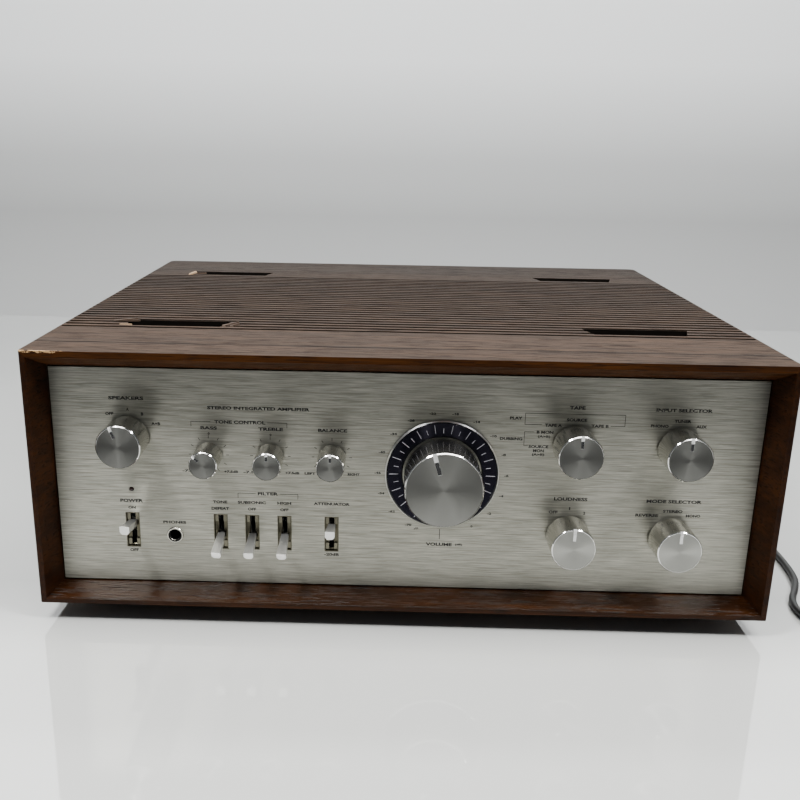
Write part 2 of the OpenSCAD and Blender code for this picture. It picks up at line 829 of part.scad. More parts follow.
top_front_rail();
slatted_top();
top_rear_rail();
left_side();
right_side();
bottom_board();
cabinet_feet();
chassis_spacers();
cabinet_screws();
front_panel();
sub_panel();
chassis_pan();
rear_panel();
vent_cover();
left_transformer();
right_transformer();
filter_capacitors();
heat_sink();
output_transistors();
power_amp_board();
phono_board();
volume_potentiometer();
tone_potentiometers();
selector_switches();
lever_switches();
lever_slot_inserts();
headphone_jack();
power_lamp();
volume_dial();
input_sockets();
ground_post();
speaker_terminals();
ac_outlets();
volume_knob();
volume_shaft();
selector_knob(speaker_at, speaker_rest);  // speaker_knob
selector_shaft(speaker_at);  // speaker_shaft
tone_knob(bass_at, bass_rest);  // bass_knob
tone_shaft(bass_at);  // bass_shaft
tone_knob(treble_at, 0);  // treble_knob
tone_shaft(treble_at);  // treble_shaft
tone_knob(balance_at, 0);  // balance_knob
tone_shaft(balance_at);  // balance_shaft
selector_knob(tape_at, 0);  // tape_knob
selector_shaft(tape_at);  // tape_shaft
selector_knob(input_at, 0);  // input_knob
selector_shaft(input_at);  // input_shaft
selector_knob(loudness_at, 0);  // loudness_knob
selector_shaft(loudness_at);  // loudness_shaft
selector_knob(mode_at, 0);  // mode_knob
selector_shaft(mode_at);  // mode_shaft
lever(lever_xs[0], 1);  // power_lever
lever(lever_xs[1], -1);  // tone_defeat_lever
lever(lever_xs[2], -1);  // subsonic_lever
lever(lever_xs[3], -1);  // high_filter_lever
lever(lever_xs[4], 1);  // attenuator_lever
strain_relief();
power_cord();
cord_coil();
power_plug();
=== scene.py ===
"""Looks of an integrated amplifier in a slatted walnut cabinet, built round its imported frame."""
import math
import random

import bmesh
import bpy
from mathutils import Matrix, Vector


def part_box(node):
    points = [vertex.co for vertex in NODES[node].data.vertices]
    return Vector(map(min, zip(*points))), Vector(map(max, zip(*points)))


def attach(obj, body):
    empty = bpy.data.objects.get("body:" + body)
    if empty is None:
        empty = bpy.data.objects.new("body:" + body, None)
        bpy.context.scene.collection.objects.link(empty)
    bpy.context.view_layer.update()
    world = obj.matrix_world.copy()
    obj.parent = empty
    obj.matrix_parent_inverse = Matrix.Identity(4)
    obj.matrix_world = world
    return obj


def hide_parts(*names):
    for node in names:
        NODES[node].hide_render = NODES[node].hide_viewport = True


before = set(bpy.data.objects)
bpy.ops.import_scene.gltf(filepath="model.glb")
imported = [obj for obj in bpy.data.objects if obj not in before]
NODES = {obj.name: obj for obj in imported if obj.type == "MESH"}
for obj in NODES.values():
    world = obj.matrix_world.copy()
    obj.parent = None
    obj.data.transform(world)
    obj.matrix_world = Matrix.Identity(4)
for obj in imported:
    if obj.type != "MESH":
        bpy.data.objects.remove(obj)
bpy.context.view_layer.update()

MM = 0.001
AMP = "amplifier"


def mm(*numbers):
    return Vector(numbers) * MM


def box_of(node):
    """Lowest and highest corner of a CAD node's box."""
    return [Vector(p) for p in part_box(node)]


def middle(node):
    """Centre of a CAD node's box."""
    low, high = box_of(node)
    return (low + high) / 2


def scaled(*points):
    """Points given in millimetres, in metres."""
    return [tuple(c * MM for c in p) for p in points]


def link(made):
    bpy.context.scene.collection.objects.link(made)


PANEL_Y = box_of("front_panel")[0].y
INNER_TOP_Z, TOP_Z = (p[2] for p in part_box("slatted_top"))
SLAT_ENDS = [p[1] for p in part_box("slatted_top")]
FRONT_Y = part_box("bottom_board")[0][1]
REAR_PANEL_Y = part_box("rear_panel")[1][1]
# Near black for the open joints, and for painted shade in the slat grooves and towards the rear of the top.
JOINT_AND_SHADE_BLACK = (0.004, 0.003, 0.002)

# Camera

CAMERA_AT = mm(-12.2, -689.4, 297.0)
CAMERA_YAW = -1.073
CAMERA_PITCH = 15.936
CAMERA_ROLL = 0.944
CAMERA_LENS = 40.52
CAMERA_SHIFT = (0.0375, -0.0125)


def make_camera():
    yaw, pitch, roll = (math.radians(a) for a in (CAMERA_YAW, CAMERA_PITCH, CAMERA_ROLL))
    ahead = Vector((math.sin(yaw) * math.cos(pitch), math.cos(yaw) * math.cos(pitch), -math.sin(pitch)))
    lit_colours = Vector((math.cos(yaw), -math.sin(yaw), 0))
    above = lit_colours.cross(ahead)
    right = lit_colours * math.cos(roll) + above * math.sin(roll)
    up = right.cross(ahead)
    data = bpy.data.cameras.new("camera")
    data.lens = CAMERA_LENS
    data.sensor_width = 36
    data.shift_x, data.shift_y = CAMERA_SHIFT
    data.clip_start = 0.01
    camera = bpy.data.objects.new("camera", data)
    camera.matrix_world = Matrix.Translation(CAMERA_AT) @ Matrix((right, up, -ahead)).transposed().to_4x4()
    link(camera)
    bpy.context.scene.camera = camera


# Mesh helpers

def add_mesh(name, bm, looks, body=AMP, smooth=True, sharp=35):
    """Turns a bmesh into a piece that rides on a body; looks is one material key or several."""
    mesh = bpy.data.meshes.new(name)
    bm.to_mesh(mesh)
    bm.free()
    piece = bpy.data.objects.new(name, mesh)
    link(piece)
    for key in [looks] if isinstance(looks, str) else looks:
        mesh.materials.append(MATERIALS[key])
    if smooth:
        mesh.shade_smooth()
        mesh.set_sharp_from_angle(angle=math.radians(sharp))
    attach(piece, body)
    return piece


def baked(piece):
    """Applies a piece's modifiers to its mesh."""
    graph = bpy.context.evaluated_depsgraph_get()
    mesh = bpy.data.meshes.new_from_object(piece.evaluated_get(graph))
    piece.modifiers.clear()
    piece.data = mesh


def bevel(piece, width, segments=2, angle=40):
    modifier = piece.modifiers.new("bevel", "BEVEL")
    modifier.width = width
    modifier.segments = segments
    modifier.limit_method = "ANGLE"
    modifier.angle_limit = math.radians(angle)
    modifier.harden_normals = True
    return piece


def add_box(bm, low, high, index=0):
    """Adds a box between two corners to a bmesh."""
    low, high = Vector(low), Vector(high)
    made = bmesh.ops.create_cube(bm, size=1)["verts"]
    for v in made:
        v.co = (low + high) / 2 + Vector(c * (h - l) for c, l, h in zip(v.co, low, high))
    for face in {f for v in made for f in v.link_faces}:
        face.material_index = index
    return made


def bridge(bm, a, b):
    """Quads between two rings of vertices."""
    n = len(a)
    return [bm.faces.new((a[k], a[(k + 1) % n], b[(k + 1) % n], b[k])) for k in range(n)]


def outward(bm):
    bmesh.ops.recalc_face_normals(bm, faces=bm.faces)


def add_prism(bm, outline, depth, place, index=0):
    """Adds an outline of (u, v) points extruded by depth; place maps (u, v, w) into the row frame."""
    near = [bm.verts.new(place(u, v, 0)) for u, v in outline]
    far = [bm.verts.new(place(u, v, depth)) for u, v in outline]
    faces = [bm.faces.new(near[::-1]), bm.faces.new(far)] + bridge(bm, near, far)
    for face in faces:
        face.material_index = index
    bmesh.ops.recalc_face_normals(bm, faces=faces)


def add_lathe(bm, profile, place, segments=96, indices=None):
    """Adds a turned shape. profile is a list of (radius, height); place maps (u, v, w), w along the axis.
    indices gives each stretch of the profile its material slot."""
    rings = []
    for radius, height in profile:
        if radius < 1e-9:
            rings.append([bm.verts.new(place(0, 0, height))])
            continue
        turn = [2 * math.pi * k / segments for k in range(segments)]
        rings.append([bm.verts.new(place(radius * math.sin(a), radius * math.cos(a), height)) for a in turn])
    made = []
    for i, (a, b) in enumerate(zip(rings, rings[1:])):
        for k in range(segments):
            n = (k + 1) % segments
            corners = [a[k % len(a)], a[n % len(a)], b[n % len(b)], b[k % len(b)]]
            corners = list(dict.fromkeys(corners))
            if len(corners) < 3:
                continue
            face = bm.faces.new(corners)
            face.material_index = indices[i] if indices else 0
            made.append(face)
    bmesh.ops.recalc_face_normals(bm, faces=made)


def facing_front(centre, turn=0):
    """Maps (right, up, towards the viewer) round a centre on the front, turned clockwise by degrees."""
    c, s = math.cos(math.radians(turn)), math.sin(math.radians(turn))
    return lambda u, v, w: Vector((centre.x + u * c + v * s, centre.y - w, centre.z - u * s + v * c))


def facing_rear(centre):
    """Maps (left as seen from behind, up, backwards) round a centre on the rear panel."""
    return lambda u, v, w: Vector((centre.x + u, centre.y + w, centre.z + v))


# Material helpers

def new_material(name, colour, roughness, metallic=0.0, **constants):
    """A Principled material; constants are input names with spaces written as underscores."""
    made = bpy.data.materials.new(name)
    made.use_nodes = True
    shader = made.node_tree.nodes["Principled BSDF"]
    shader.inputs["Base Color"].default_value = (*colour, 1)
    shader.inputs["Roughness"].default_value = roughness
    shader.inputs["Metallic"].default_value = metallic
    for key, value in constants.items():
        shader.inputs[key.replace("_", " ")].default_value = value
    return made


class Graph:
    """Short ways to add nodes to a material."""

    def __init__(self, material):
        self.tree = material.node_tree
        self.shader = self.tree.nodes["Principled BSDF"]

    def node(self, kind, inputs=None, **settings):
        made = self.tree.nodes.new("ShaderNode" + kind)
        for key, value in settings.items():
            setattr(made, key, value)
        for key, value in (inputs or {}).items():
            self.put(value, made.inputs[key])
        return made

    def put(self, value, socket):
        """Links an output socket, or sets a number or colour."""
        if isinstance(value, bpy.types.NodeSocket):
            self.tree.links.new(value, socket)
        else:
            socket.default_value = value

    def place(self, scale=(1, 1, 1), offset=(0, 0, 0), turn=(0, 0, 0)):
        """Row-frame coordinates in metres, scaled along each axis."""
        coordinates = self.node("TexCoord").outputs["Object"]
        inputs = {"Vector": coordinates, "Scale": scale, "Location": offset, "Rotation": turn}
        return self.node("Mapping", inputs).outputs["Vector"]

    def noise(self, vector, scale, detail=3.0, roughness=0.55, distortion=0.0):
        inputs = {"Vector": vector, "Scale": scale, "Detail": detail}
        inputs.update({"Roughness": roughness, "Distortion": distortion})
        return self.node("TexNoise", inputs).outputs["Fac"]

    def ramp(self, value, *stops):
        """A colour ramp; a stop is (position, grey) or (position, (r, g, b))."""
        made = self.node("ValToRGB", {"Fac": value})
        elements = made.color_ramp.elements
        while len(elements) < len(stops):
            elements.new(0.5)
        for element, (position, shade) in zip(elements, stops):
            rgb = shade if isinstance(shade, tuple) else (shade,) * 3
            element.position = position
            element.color = (*rgb, 1)
        return made.outputs["Color"]

    def mix(self, factor, a, b, mode="MIX"):
        made = self.node("Mix", data_type="RGBA", blend_type=mode)
        for value, socket in zip((factor, a, b), (made.inputs[0], made.inputs[6], made.inputs[7])):
            if isinstance(value, tuple):
                value = (*value, 1)
            self.put(value, socket)
        return made.outputs[2]

    def math(self, operation, a, b=0.0):
        return self.node("Math", {0: a, 1: b}, operation=operation).outputs[0]

    def times(self, a, b):
        return self.math("MULTIPLY", a, b)

    def span(self, value, low, high):
        """Maps 0..1 to low..high."""
        inputs = {"Value": value, "To Min": low, "To Max": high}
        return self.node("MapRange", inputs).outputs["Result"]

    def between(self, value, start, end, low=0.0, high=1.0):
        """Runs from low to high while a value goes from start to end."""
        inputs = {"Value": value, 1: start, 2: end, 3: low, 4: high}
        return self.node("MapRange", inputs).outputs["Result"]

    def facing_up(self):
        """1 on faces that look up, 0 on those that stand or hang."""
        normal = self.node("SeparateXYZ", {"Vector": self.node("NewGeometry").outputs["Normal"]})
        return self.between(normal.outputs["Z"], 0.5, 0.8)

    def axis(self, name):
        separate = self.node("SeparateXYZ", {"Vector": self.node("TexCoord").outputs["Object"]})
        return separate.outputs[name]

    def bump(self, height, distance, strength=1.0, under=None):
        inputs = {"Height": height, "Distance": distance, "Strength": strength}
        if under:
            inputs["Normal"] = under
        return self.node("Bump", inputs).outputs["Normal"]

    def set(self, **sockets):
        for key, value in sockets.items():
            self.put(value, self.shader.inputs[key.replace("_", " ")])


def walnut(name, grain, lit_colours, shaded_colours, roughness, shine, low_shine, wear=False, shade_slat_grooves=False):
    """Oiled walnut with its grain along one axis: broad figure, flecks, fine streaks and open pores.
    Each colour set is (dark, light, warm); the first goes to faces that look up and the second to all
    others, whose darker colours are painted shade."""
    made = new_material(name, lit_colours[1], roughness)
    g = Graph(made)
    along = {"X": 0, "Y": 1, "Z": 2}[grain]

    def stretched(across, lengthways):
        return tuple(lengthways if i == along else across for i in range(3))

    up = g.facing_up()
    painted_rear_shade = g.between(g.axis("Y"), FRONT_Y + 0.03, FRONT_Y + 0.36)
    # Upright faces get the darker shaded colours: painted shade.
    dark, light, warm = (g.mix(up, a, b) for a, b in zip(shaded_colours, lit_colours))
    figure = g.noise(g.place(stretched(1, 0.14)), 34, 4, 0.6, 1.2)
    flecks = g.noise(g.place(stretched(1, 0.13), (0.1, 0.3, 0.2)), 190, 3, 0.6, 0.4)
    streaks = g.noise(g.place(stretched(1, 0.03)), 330, 4, 0.65)
    pores = g.noise(g.place(stretched(1, 0.045)), 1300, 2, 0.5)
    tone = g.mix(g.ramp(figure, (0.3, 0.0), (0.7, 1.0)), dark, light)
    tone = g.mix(g.ramp(streaks, (0.35, 0.6), (0.62, 0.0)), tone, warm)
    tone = g.mix(g.times(g.ramp(flecks, (0.42, 1.0), (0.56, 0.0)), 0.42), tone, dark)
    pore = g.ramp(pores, (0.55, 0.0), (0.64, 1.0))
    tone = g.mix(g.times(pore, 0.8), tone, (0.005, 0.003, 0.002))
    cracks = g.noise(g.place(stretched(1, 0.05), (0.3, 0.1, 0.2)), 120, 5, 0.7)
    crack = g.ramp(cracks, (0.285, 1.0), (0.3, 0.0))
    tone = g.mix(g.times(crack, 0.6), tone, (0.010, 0.006, 0.004))
    rough = g.math("ADD", g.span(figure, roughness - 0.07, roughness + 0.09), g.times(pore, 0.2))
    # Faces that look up are painted darker towards the rear: painted shade where the light falls off.
    tone = g.mix(g.times(g.times(painted_rear_shade, up), 0.6), tone, JOINT_AND_SHADE_BLACK)
    if shade_slat_grooves:
        # Painted shade in the grooves between the slats, below the ridge tops.
        groove = g.between(g.axis("Z"), TOP_Z - 0.00003, TOP_Z - 0.00015)
        tone = g.mix(g.times(groove, g.between(g.axis("Z"), INNER_TOP_Z, INNER_TOP_Z + 0.001)), tone, JOINT_AND_SHADE_BLACK)
    if grain == "X":
        tone = open_joints(g, tone, up)
    if wear:
        tone, rough = worn_front_edge(g, tone, rough)
    g.set(Base_Color=tone, Roughness=rough, Specular_IOR_Level=g.span(up, low_shine, shine))
    relief = g.math("SUBTRACT", g.times(streaks, 0.4), g.math("ADD", pore, crack))
    g.set(Normal=g.bump(relief, 0.00012, 0.7))
    return made


def open_joints(g, tone, up):
    """Dark, slightly ragged lines where the slatted board meets the two rails."""
    wobble = g.span(g.noise(g.place((1, 0.1, 0.1)), 70, 4, 0.7), -0.0012, 0.0012)
    y = g.math("ADD", g.axis("Y"), wobble)
    for joint in SLAT_ENDS:
        away = g.math("ABSOLUTE", g.math("SUBTRACT", y, joint))
        line = g.between(away, 0.0006, 0.0012, 1, 0)
        tone = g.mix(g.times(line, up), tone, JOINT_AND_SHADE_BLACK)
    return tone


def worn_front_edge(g, tone, rough):
    """Bare tan wood where the lacquer has chipped off the front top edge near its left corner."""
    near_front = g.between(g.axis("Y"), FRONT_Y + 0.0065, FRONT_Y + 0.0005)
    near_top = g.between(g.axis("Z"), TOP_Z - 0.0032, TOP_Z - 0.0008)
    near_left = g.between(g.axis("X"), -0.185, -0.208, 0.55, 1)
    where = g.times(g.times(near_front, near_top), near_left)
    chips = g.noise(g.place((0.55, 1, 1)), 520, 3, 0.7)
    chip = g.ramp(g.times(where, chips), (0.465, 0.0), (0.49, 1.0))
    return g.mix(chip, tone, (0.60, 0.38, 0.19)), g.math("MAXIMUM", rough, g.times(chip, 0.8))


def brushed_panel():
    """Aluminium brushed from side to side: short bright and dark scratches, highlights drawn up and down."""
    turned = {"Anisotropic": 0.75, "Anisotropic_Rotation": 0.25}
    made = new_material("brushed_panel", (0.55, 0.54, 0.50), 0.38, 1.0, **turned)
    g = Graph(made)
    fine = g.noise(g.place((0.03, 1, 1)), 2600, 3, 0.7)
    medium = g.noise(g.place((0.035, 1, 1), (0.2, 0, 0.4)), 1400, 3, 0.6)
    broad = g.noise(g.place((0.06, 1, 1), (0.5, 0, 0.1)), 60, 3, 0.6)
    tone = g.mix(g.ramp(medium, (0.34, 0.0), (0.66, 1.0)), (0.29, 0.285, 0.24), (0.58, 0.57, 0.50))
    tone = g.mix(g.times(g.ramp(broad, (0.35, 0.0), (0.7, 1.0)), 0.35), tone, (0.43, 0.42, 0.37))
    scratch = g.ramp(fine, (0.60, 0.0), (0.70, 1.0))
    tone = g.mix(g.times(scratch, 0.55), tone, (0.78, 0.77, 0.69))
    g.set(Base_Color=tone, Roughness=g.span(medium, 0.32, 0.50))
    g.set(Normal=g.bump(g.math("ADD", fine, g.times(medium, 2.0)), 0.00009, 0.6))
    g.set(Tangent=g.node("Tangent", direction_type="RADIAL", axis="Z").outputs["Tangent"])
    return made


def turned_metal(name, colour, roughness):
    """Aluminium turned on a lathe: fan-shaped highlights on a face, lengthways ones on a side."""
    made = new_material(name, colour, roughness, 1.0, Anisotropic=0.86, Anisotropic_Rotation=0.25)
    g = Graph(made)
    g.set(Tangent=g.node("Tangent", direction_type="RADIAL", axis="Y").outputs["Tangent"])
    patches = g.noise(g.place(), 60, 2, 0.5)
    g.set(Roughness=g.span(patches, roughness - 0.015, roughness + 0.015))
    return made


def satin_metal(name, colour, roughness, scale=700, metallic=1.0):
    """Plain metal with a little patchiness and handling marks."""
    made = new_material(name, colour, roughness, metallic)
    g = Graph(made)
    patches = g.noise(g.place(), scale * 0.15, 4, 0.6)
    fine = g.noise(g.place(), scale, 2, 0.5)
    g.set(Roughness=g.span(patches, roughness - 0.06, roughness + 0.09))
    g.set(Normal=g.bump(fine, 0.00001, 0.3))
    return made


def plastic(name, colour, roughness, grain=900, depth=0.00003, dust=0.12):
    """Moulded plastic or rubber with a fine grain and a trace of dust."""
    made = new_material(name, colour, roughness)
    g = Graph(made)
    fine = g.noise(g.place(), grain, 3, 0.6)
    patches = g.noise(g.place(), 60, 4, 0.65)
    pale = tuple(min(1.0, c + 0.10) for c in colour)
    g.set(Base_Color=g.mix(g.times(g.ramp(patches, (0.45, 0.0), (0.8, 1.0)), dust), colour, pale))
    g.set(Roughness=g.span(patches, roughness - 0.08, roughness + 0.1))
    g.set(Normal=g.bump(fine, depth, 0.5))
    return made


def painted(name, colour, roughness=0.4):
    """Sprayed paint on steel, with a faint orange peel."""
    return plastic(name, colour, roughness, 450, 0.00005, 0.2)


def circuit_material():
    """Brown laminate with copper-tinted tracks."""
    made = new_material("circuit_board", (0.25, 0.15, 0.05), 0.5)
    g = Graph(made)
    weave = g.noise(g.place((1, 0.15, 1)), 240, 2, 0.4)
    tracks = g.ramp(weave, (0.49, 0.0), (0.5, 1.0))
    g.set(Base_Color=g.mix(tracks, (0.27, 0.17, 0.07), (0.17, 0.12, 0.05)))
    g.set(Roughness=g.span(weave, 0.35, 0.6))
    return made


MATERIALS = {}
# Plain metals: name, colour, roughness, scale and metallic share
SATIN = {
    "rim": ("bright_rim", (0.92, 0.92, 0.90), 0.08),
    "chrome": ("lever_chrome", (0.76, 0.76, 0.74), 0.33, 700, 0.92),
    "ring": ("socket_ring", (0.50, 0.49, 0.44), 0.22),
    "trim": ("slot_trim", (0.10, 0.092, 0.065), 0.30),
    "trim_end": ("slot_trim_end", (0.17, 0.16, 0.12), 0.30),
    "dial_edge": ("dial_edge", (0.80, 0.80, 0.80), 0.28),
    "steel": ("zinc_steel", (0.55, 0.55, 0.53), 0.35),
    "brass": ("post_brass", (0.72, 0.53, 0.24), 0.25),
    "anodised": ("black_anodised", (0.03, 0.03, 0.03), 0.5),
}
# Plastics and the like: name, colour, roughness, grain, depth and dust
PLASTICS = {
    "ink": ("legend_ink", (0.004, 0.004, 0.005), 0.55, 900, 0.00003, 0.0),
    "tick": ("dial_tick", (0.72, 0.71, 0.78), 0.4, 900, 0.00003, 0.02),
    # Near black for holes, grooves and screw slots: painted shade.
    "hollow": ("dark_hollow", (0.006, 0.006, 0.006), 0.7),
    "bare_wood": ("bare_wood", (0.40, 0.27, 0.16), 0.8, 600, 0.0001),
    "splinter": ("splinter", (0.075, 0.045, 0.028), 0.7, 600, 0.0001),
    "gloss_black": ("terminal_black", (0.012, 0.012, 0.012), 0.25),
    "red": ("terminal_red", (0.35, 0.012, 0.01), 0.3),
    "white": ("socket_white", (0.75, 0.74, 0.70), 0.35),
    "rubber": ("cord_rubber", (0.012, 0.012, 0.012), 0.42, 1400, 0.00002),
    "foot": ("foot_plastic", (0.015, 0.015, 0.015), 0.6, 500, 0.00008),
    "fibre": ("spacer_fibre", (0.30, 0.20, 0.11), 0.8, 700, 0.0001),
    "capacitor": ("capacitor_sleeve", (0.015, 0.025, 0.10), 0.3),
    "switch_board": ("switch_board", (0.30, 0.20, 0.09), 0.5),
}


def make_materials():
    m = MATERIALS
    # Lit colours for faces that look up and darker shaded ones for all other faces: painted light and shade.
    lit_colours = (0.022, 0.013, 0.0085), (0.066, 0.042, 0.029), (0.082, 0.048, 0.028)
    shaded_colours = (0.016, 0.0045, 0.0008), (0.058, 0.018, 0.0025), (0.085, 0.028, 0.004)
    m["walnut_top"] = walnut("walnut_top", "X", lit_colours, shaded_colours, 0.62, 0.10, 0.08, shade_slat_grooves=True)
    m["walnut_rail"] = walnut("walnut_rail", "X", lit_colours, shaded_colours, 0.62, 0.10, 0.08, wear=True)
    # Darker shaded colours still for the sides and the bottom board: more painted shade.
    shaded_colours = (0.009, 0.0025, 0.0008), (0.032, 0.010, 0.002), (0.044, 0.014, 0.0025)
    m["walnut_side"] = walnut("walnut_side", "Y", lit_colours, shaded_colours, 0.45, 0.1, 0.09)
    m["walnut_low"] = walnut("walnut_low", "X", shaded_colours, shaded_colours, 0.24, 0.45, 0.1)
    m["panel"] = brushed_panel()
    # The face takes a much darker copy of the turned aluminium than the side: painted shade.
    m["face"] = turned_metal("turned_face", (0.345, 0.345, 0.325), 0.30)
    m["side"] = turned_metal("turned_side", (0.60, 0.59, 0.54), 0.18)
    # Near-white and partly non-metal: the bare cut metal of the notch floor with a painted highlight on it.
    m["notch"] = new_material("pointer_notch", (0.93, 0.93, 0.91), 0.4, 0.35)
    m["inlay"] = new_material("pointer_inlay", (0.60, 0.60, 0.60), 0.06, 1.0)
    m["dial"] = new_material("dial_black", (0.004, 0.004, 0.006), 0.2)
    m["band"] = new_material("dial_band", (0.085, 0.080, 0.120), 0.13, 1.0)
    m["black_steel"] = painted("black_steel", (0.022, 0.022, 0.023), 0.45)
    m["lamp"] = new_material("lamp_lens", (0.018, 0.002, 0.002), 0.2)
    m["circuit"] = circuit_material()
    m.update({key: satin_metal(*look) for key, look in SATIN.items()})
    m.update({key: plastic(*look) for key, look in PLASTICS.items()})


# CAD nodes that keep their shape: node name to material key
CAD_LOOKS = {
    "top_front_rail": "walnut_rail", "slatted_top": "walnut_top", "top_rear_rail": "walnut_rail",
    "left_side": "walnut_side", "right_side": "walnut_side", "bottom_board": "walnut_low",
    "cabinet_feet": "foot", "chassis_spacers": "fibre", "cabinet_screws": "steel",
    "front_panel": "panel", "sub_panel": "steel", "chassis_pan": "steel",
    "rear_panel": "black_steel", "vent_cover": "black_steel",
    "left_transformer": "black_steel", "right_transformer": "black_steel",
    "filter_capacitors": "capacitor", "heat_sink": "anodised", "output_transistors": "steel",
    "power_amp_board": "circuit", "phono_board": "circuit",
    "volume_potentiometer": "steel", "tone_potentiometers": "steel",
    "selector_switches": "switch_board", "lever_switches": "gloss_black",
    "ground_post": "brass", "ac_outlets": "gloss_black",
}
KNOBS = ("volume", "speaker", "bass", "treble", "balance", "tape", "input", "loudness", "mode")
SHAFTS = [name + "_shaft" for name in KNOBS]
EDGED = {
    "top_front_rail": 0.5, "slatted_top": 0.08, "top_rear_rail": 0.5, "left_side": 0.5,
    "right_side": 0.5, "bottom_board": 0.5, "front_panel": 0.25, "cabinet_feet": 0.6,
    "rear_panel": 0.2, "ac_outlets": 0.4, "ground_post": 0.2,
}


def dress_cad_nodes():
    for node, key in [*CAD_LOOKS.items(), *((shaft, "steel") for shaft in SHAFTS)]:
        NODES[node].data.materials.clear()
        NODES[node].data.materials.append(MATERIALS[key])
    for node, width in EDGED.items():
        bevel(NODES[node], width * MM)


# Mains cord: the same route as the CAD's, in millimetres

CORD_D = 4.5
CORD_Z = 2.4
ON_TABLE = [
    (219, 252), (234, 246), (248, 234), (258, 216), (264, 190), (268, 160), (271, 125), (274, 85),
    (276, 45), (278, 5), (279, -35), (279, -72), (278, -97), (275, -116), (269, -130), (262, -143),
    (259, -157), (262, -173), (272, -185), (286, -190), (300, -190), (315, -190),
]
LEAD_ROUTE = [
    (186, 207, 40), (186, 216, 39), (187, 229, 35), (190, 241, 26), (196, 249, 15), (206, 253, 6.5),
    *((x, y, CORD_Z) for x, y in ON_TABLE),
]
COIL_R = 26 + 1.5 * CORD_D
COIL_CENTRE = (315, -190 + COIL_R)
PLUG_X = COIL_CENTRE[0] + COIL_R
PLUG_Y = -118
TAIL_ROUTE = [
    (PLUG_X, COIL_CENTRE[1], CORD_Z + 2 * CORD_D), (PLUG_X, -148, 10), (PLUG_X, -138, 8),
    (PLUG_X, -128, 7), (PLUG_X, PLUG_Y, 7),
]
SPIRAL_TURNS = 3
RISE_TURNS = 0.3
LAST_TURNS = 0.65
STEPS_PER_TURN = 32


def smooth_route(route, steps):
    """A smooth curve through a route's points."""
    points = [Vector(p) for p in route]
    made = []
    for i in range(len(points) - 1):
        p0, p1, p2 = points[max(i - 1, 0)], points[i], points[i + 1]
        p3 = points[min(i + 2, len(points) - 1)]
        for k in range(steps):
            t = k / steps
            made.append(p1 + (p2 - p0) * t / 2 + (2 * p0 - 5 * p1 + 4 * p2 - p3) * t ** 2 / 2
                        + (3 * p1 - p0 - 3 * p2 + p3) * t ** 3 / 2)
            made[-1].z = max(made[-1].z, CORD_Z)
    return made + [points[-1]]


def coil_turn(t):
    """Radius and layer of the coil after t turns: in on the table, up, out on top, up, along the outside."""
    if t < SPIRAL_TURNS:
        return COIL_R - CORD_D * t, 0
    t -= SPIRAL_TURNS
    if t < RISE_TURNS:
        return COIL_R - CORD_D * SPIRAL_TURNS, t / RISE_TURNS
    t -= RISE_TURNS
    if t < SPIRAL_TURNS:
        return COIL_R - CORD_D * (SPIRAL_TURNS - t), 1
    t -= SPIRAL_TURNS
    return COIL_R, 1 + min(1, t / RISE_TURNS)


def coil_route():
    turns = 2 * (SPIRAL_TURNS + RISE_TURNS) + LAST_TURNS
    count = round(turns * STEPS_PER_TURN)
    made = []
    for i in range(1, count):
        t = turns * i / count
        radius, layer = coil_turn(t)
        a = 2 * math.pi * (t - 0.25)
        x, y = COIL_CENTRE[0] + radius * math.cos(a), COIL_CENTRE[1] + radius * math.sin(a)
        made.append(Vector((x, y, CORD_Z + layer * CORD_D)))
    return made


def make_cord():
    points = smooth_route(LEAD_ROUTE, 4) + coil_route() + smooth_route(TAIL_ROUTE, 4)
    data = bpy.data.curves.new("power_cord_curve", "CURVE")
    data.dimensions = "3D"
    data.bevel_depth = CORD_D / 2 * MM
    data.bevel_resolution = 4
    data.use_fill_caps = True
    spline = data.splines.new("POLY")
    spline.points.add(len(points) - 1)
    for p, co in zip(spline.points, points):
        p.co = (*(co * MM), 1)
    cord = bpy.data.objects.new("mains_cord", data)
    link(cord)
    data.materials.append(MATERIALS["rubber"])
    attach(cord, AMP)
    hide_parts("power_cord", "cord_coil")
    length = sum((b - a).length for a, b in zip(points, points[1:])) * MM
    print("cord length", round(length, 4))
    pieces = [make_strain_relief(), make_plug(), make_tie()]


def make_strain_relief():
    """Ribbed tapered sleeve where the cord leaves the rear panel."""
    root = Vector((middle("strain_relief").x, REAR_PANEL_Y, middle("strain_relief").z))
    length = box_of("strain_relief")[1].y - REAR_PANEL_Y
    profile = scaled((0, -5), (4.9, -5), (4.9, 0), (7.4, 0.2), (7.4, 3.2), (6.6, 4))
    ribs = 7
    pitch = (length - 5 * MM) / ribs
    for i in range(ribs):
        t = 4 * MM + (length - 5 * MM) * i / ribs
        radius = (5.1 - 1.9 * i / ribs) * MM
        profile += [(radius, t + pitch * 0.15), (radius, t + pitch * 0.65)]
        profile += [(radius - 0.7 * MM, t + pitch * 0.8)]
    profile += [(3.0 * MM, length - 0.6 * MM), (2.4 * MM, length)]
    bm = bmesh.new()
    add_lathe(bm, profile, facing_rear(root), 40)
    piece = add_mesh("cord_strain_relief", bm, "rubber", sharp=50)
    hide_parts("strain_relief")
    return piece


# The plug's body: distance along it, half width and half height, in millimetres
PLUG_SECTIONS = [
    (0, 3.2, 3.2), (4, 3.8, 3.6), (9, 6.0, 5.2), (14, 9.5, 6.2), (20, 11.6, 6.7), (31, 12.0, 6.8),
    (32.0, 11.0, 6.0),
]
PLUG_SIDES = 40
BLADE_X = 6.35 * MM
BLADE_OUTLINE = [(-3.2, 0), (3.2, 0), (3.2, 13.5), (2.0, 16), (-2.0, 16), (-3.2, 13.5)]


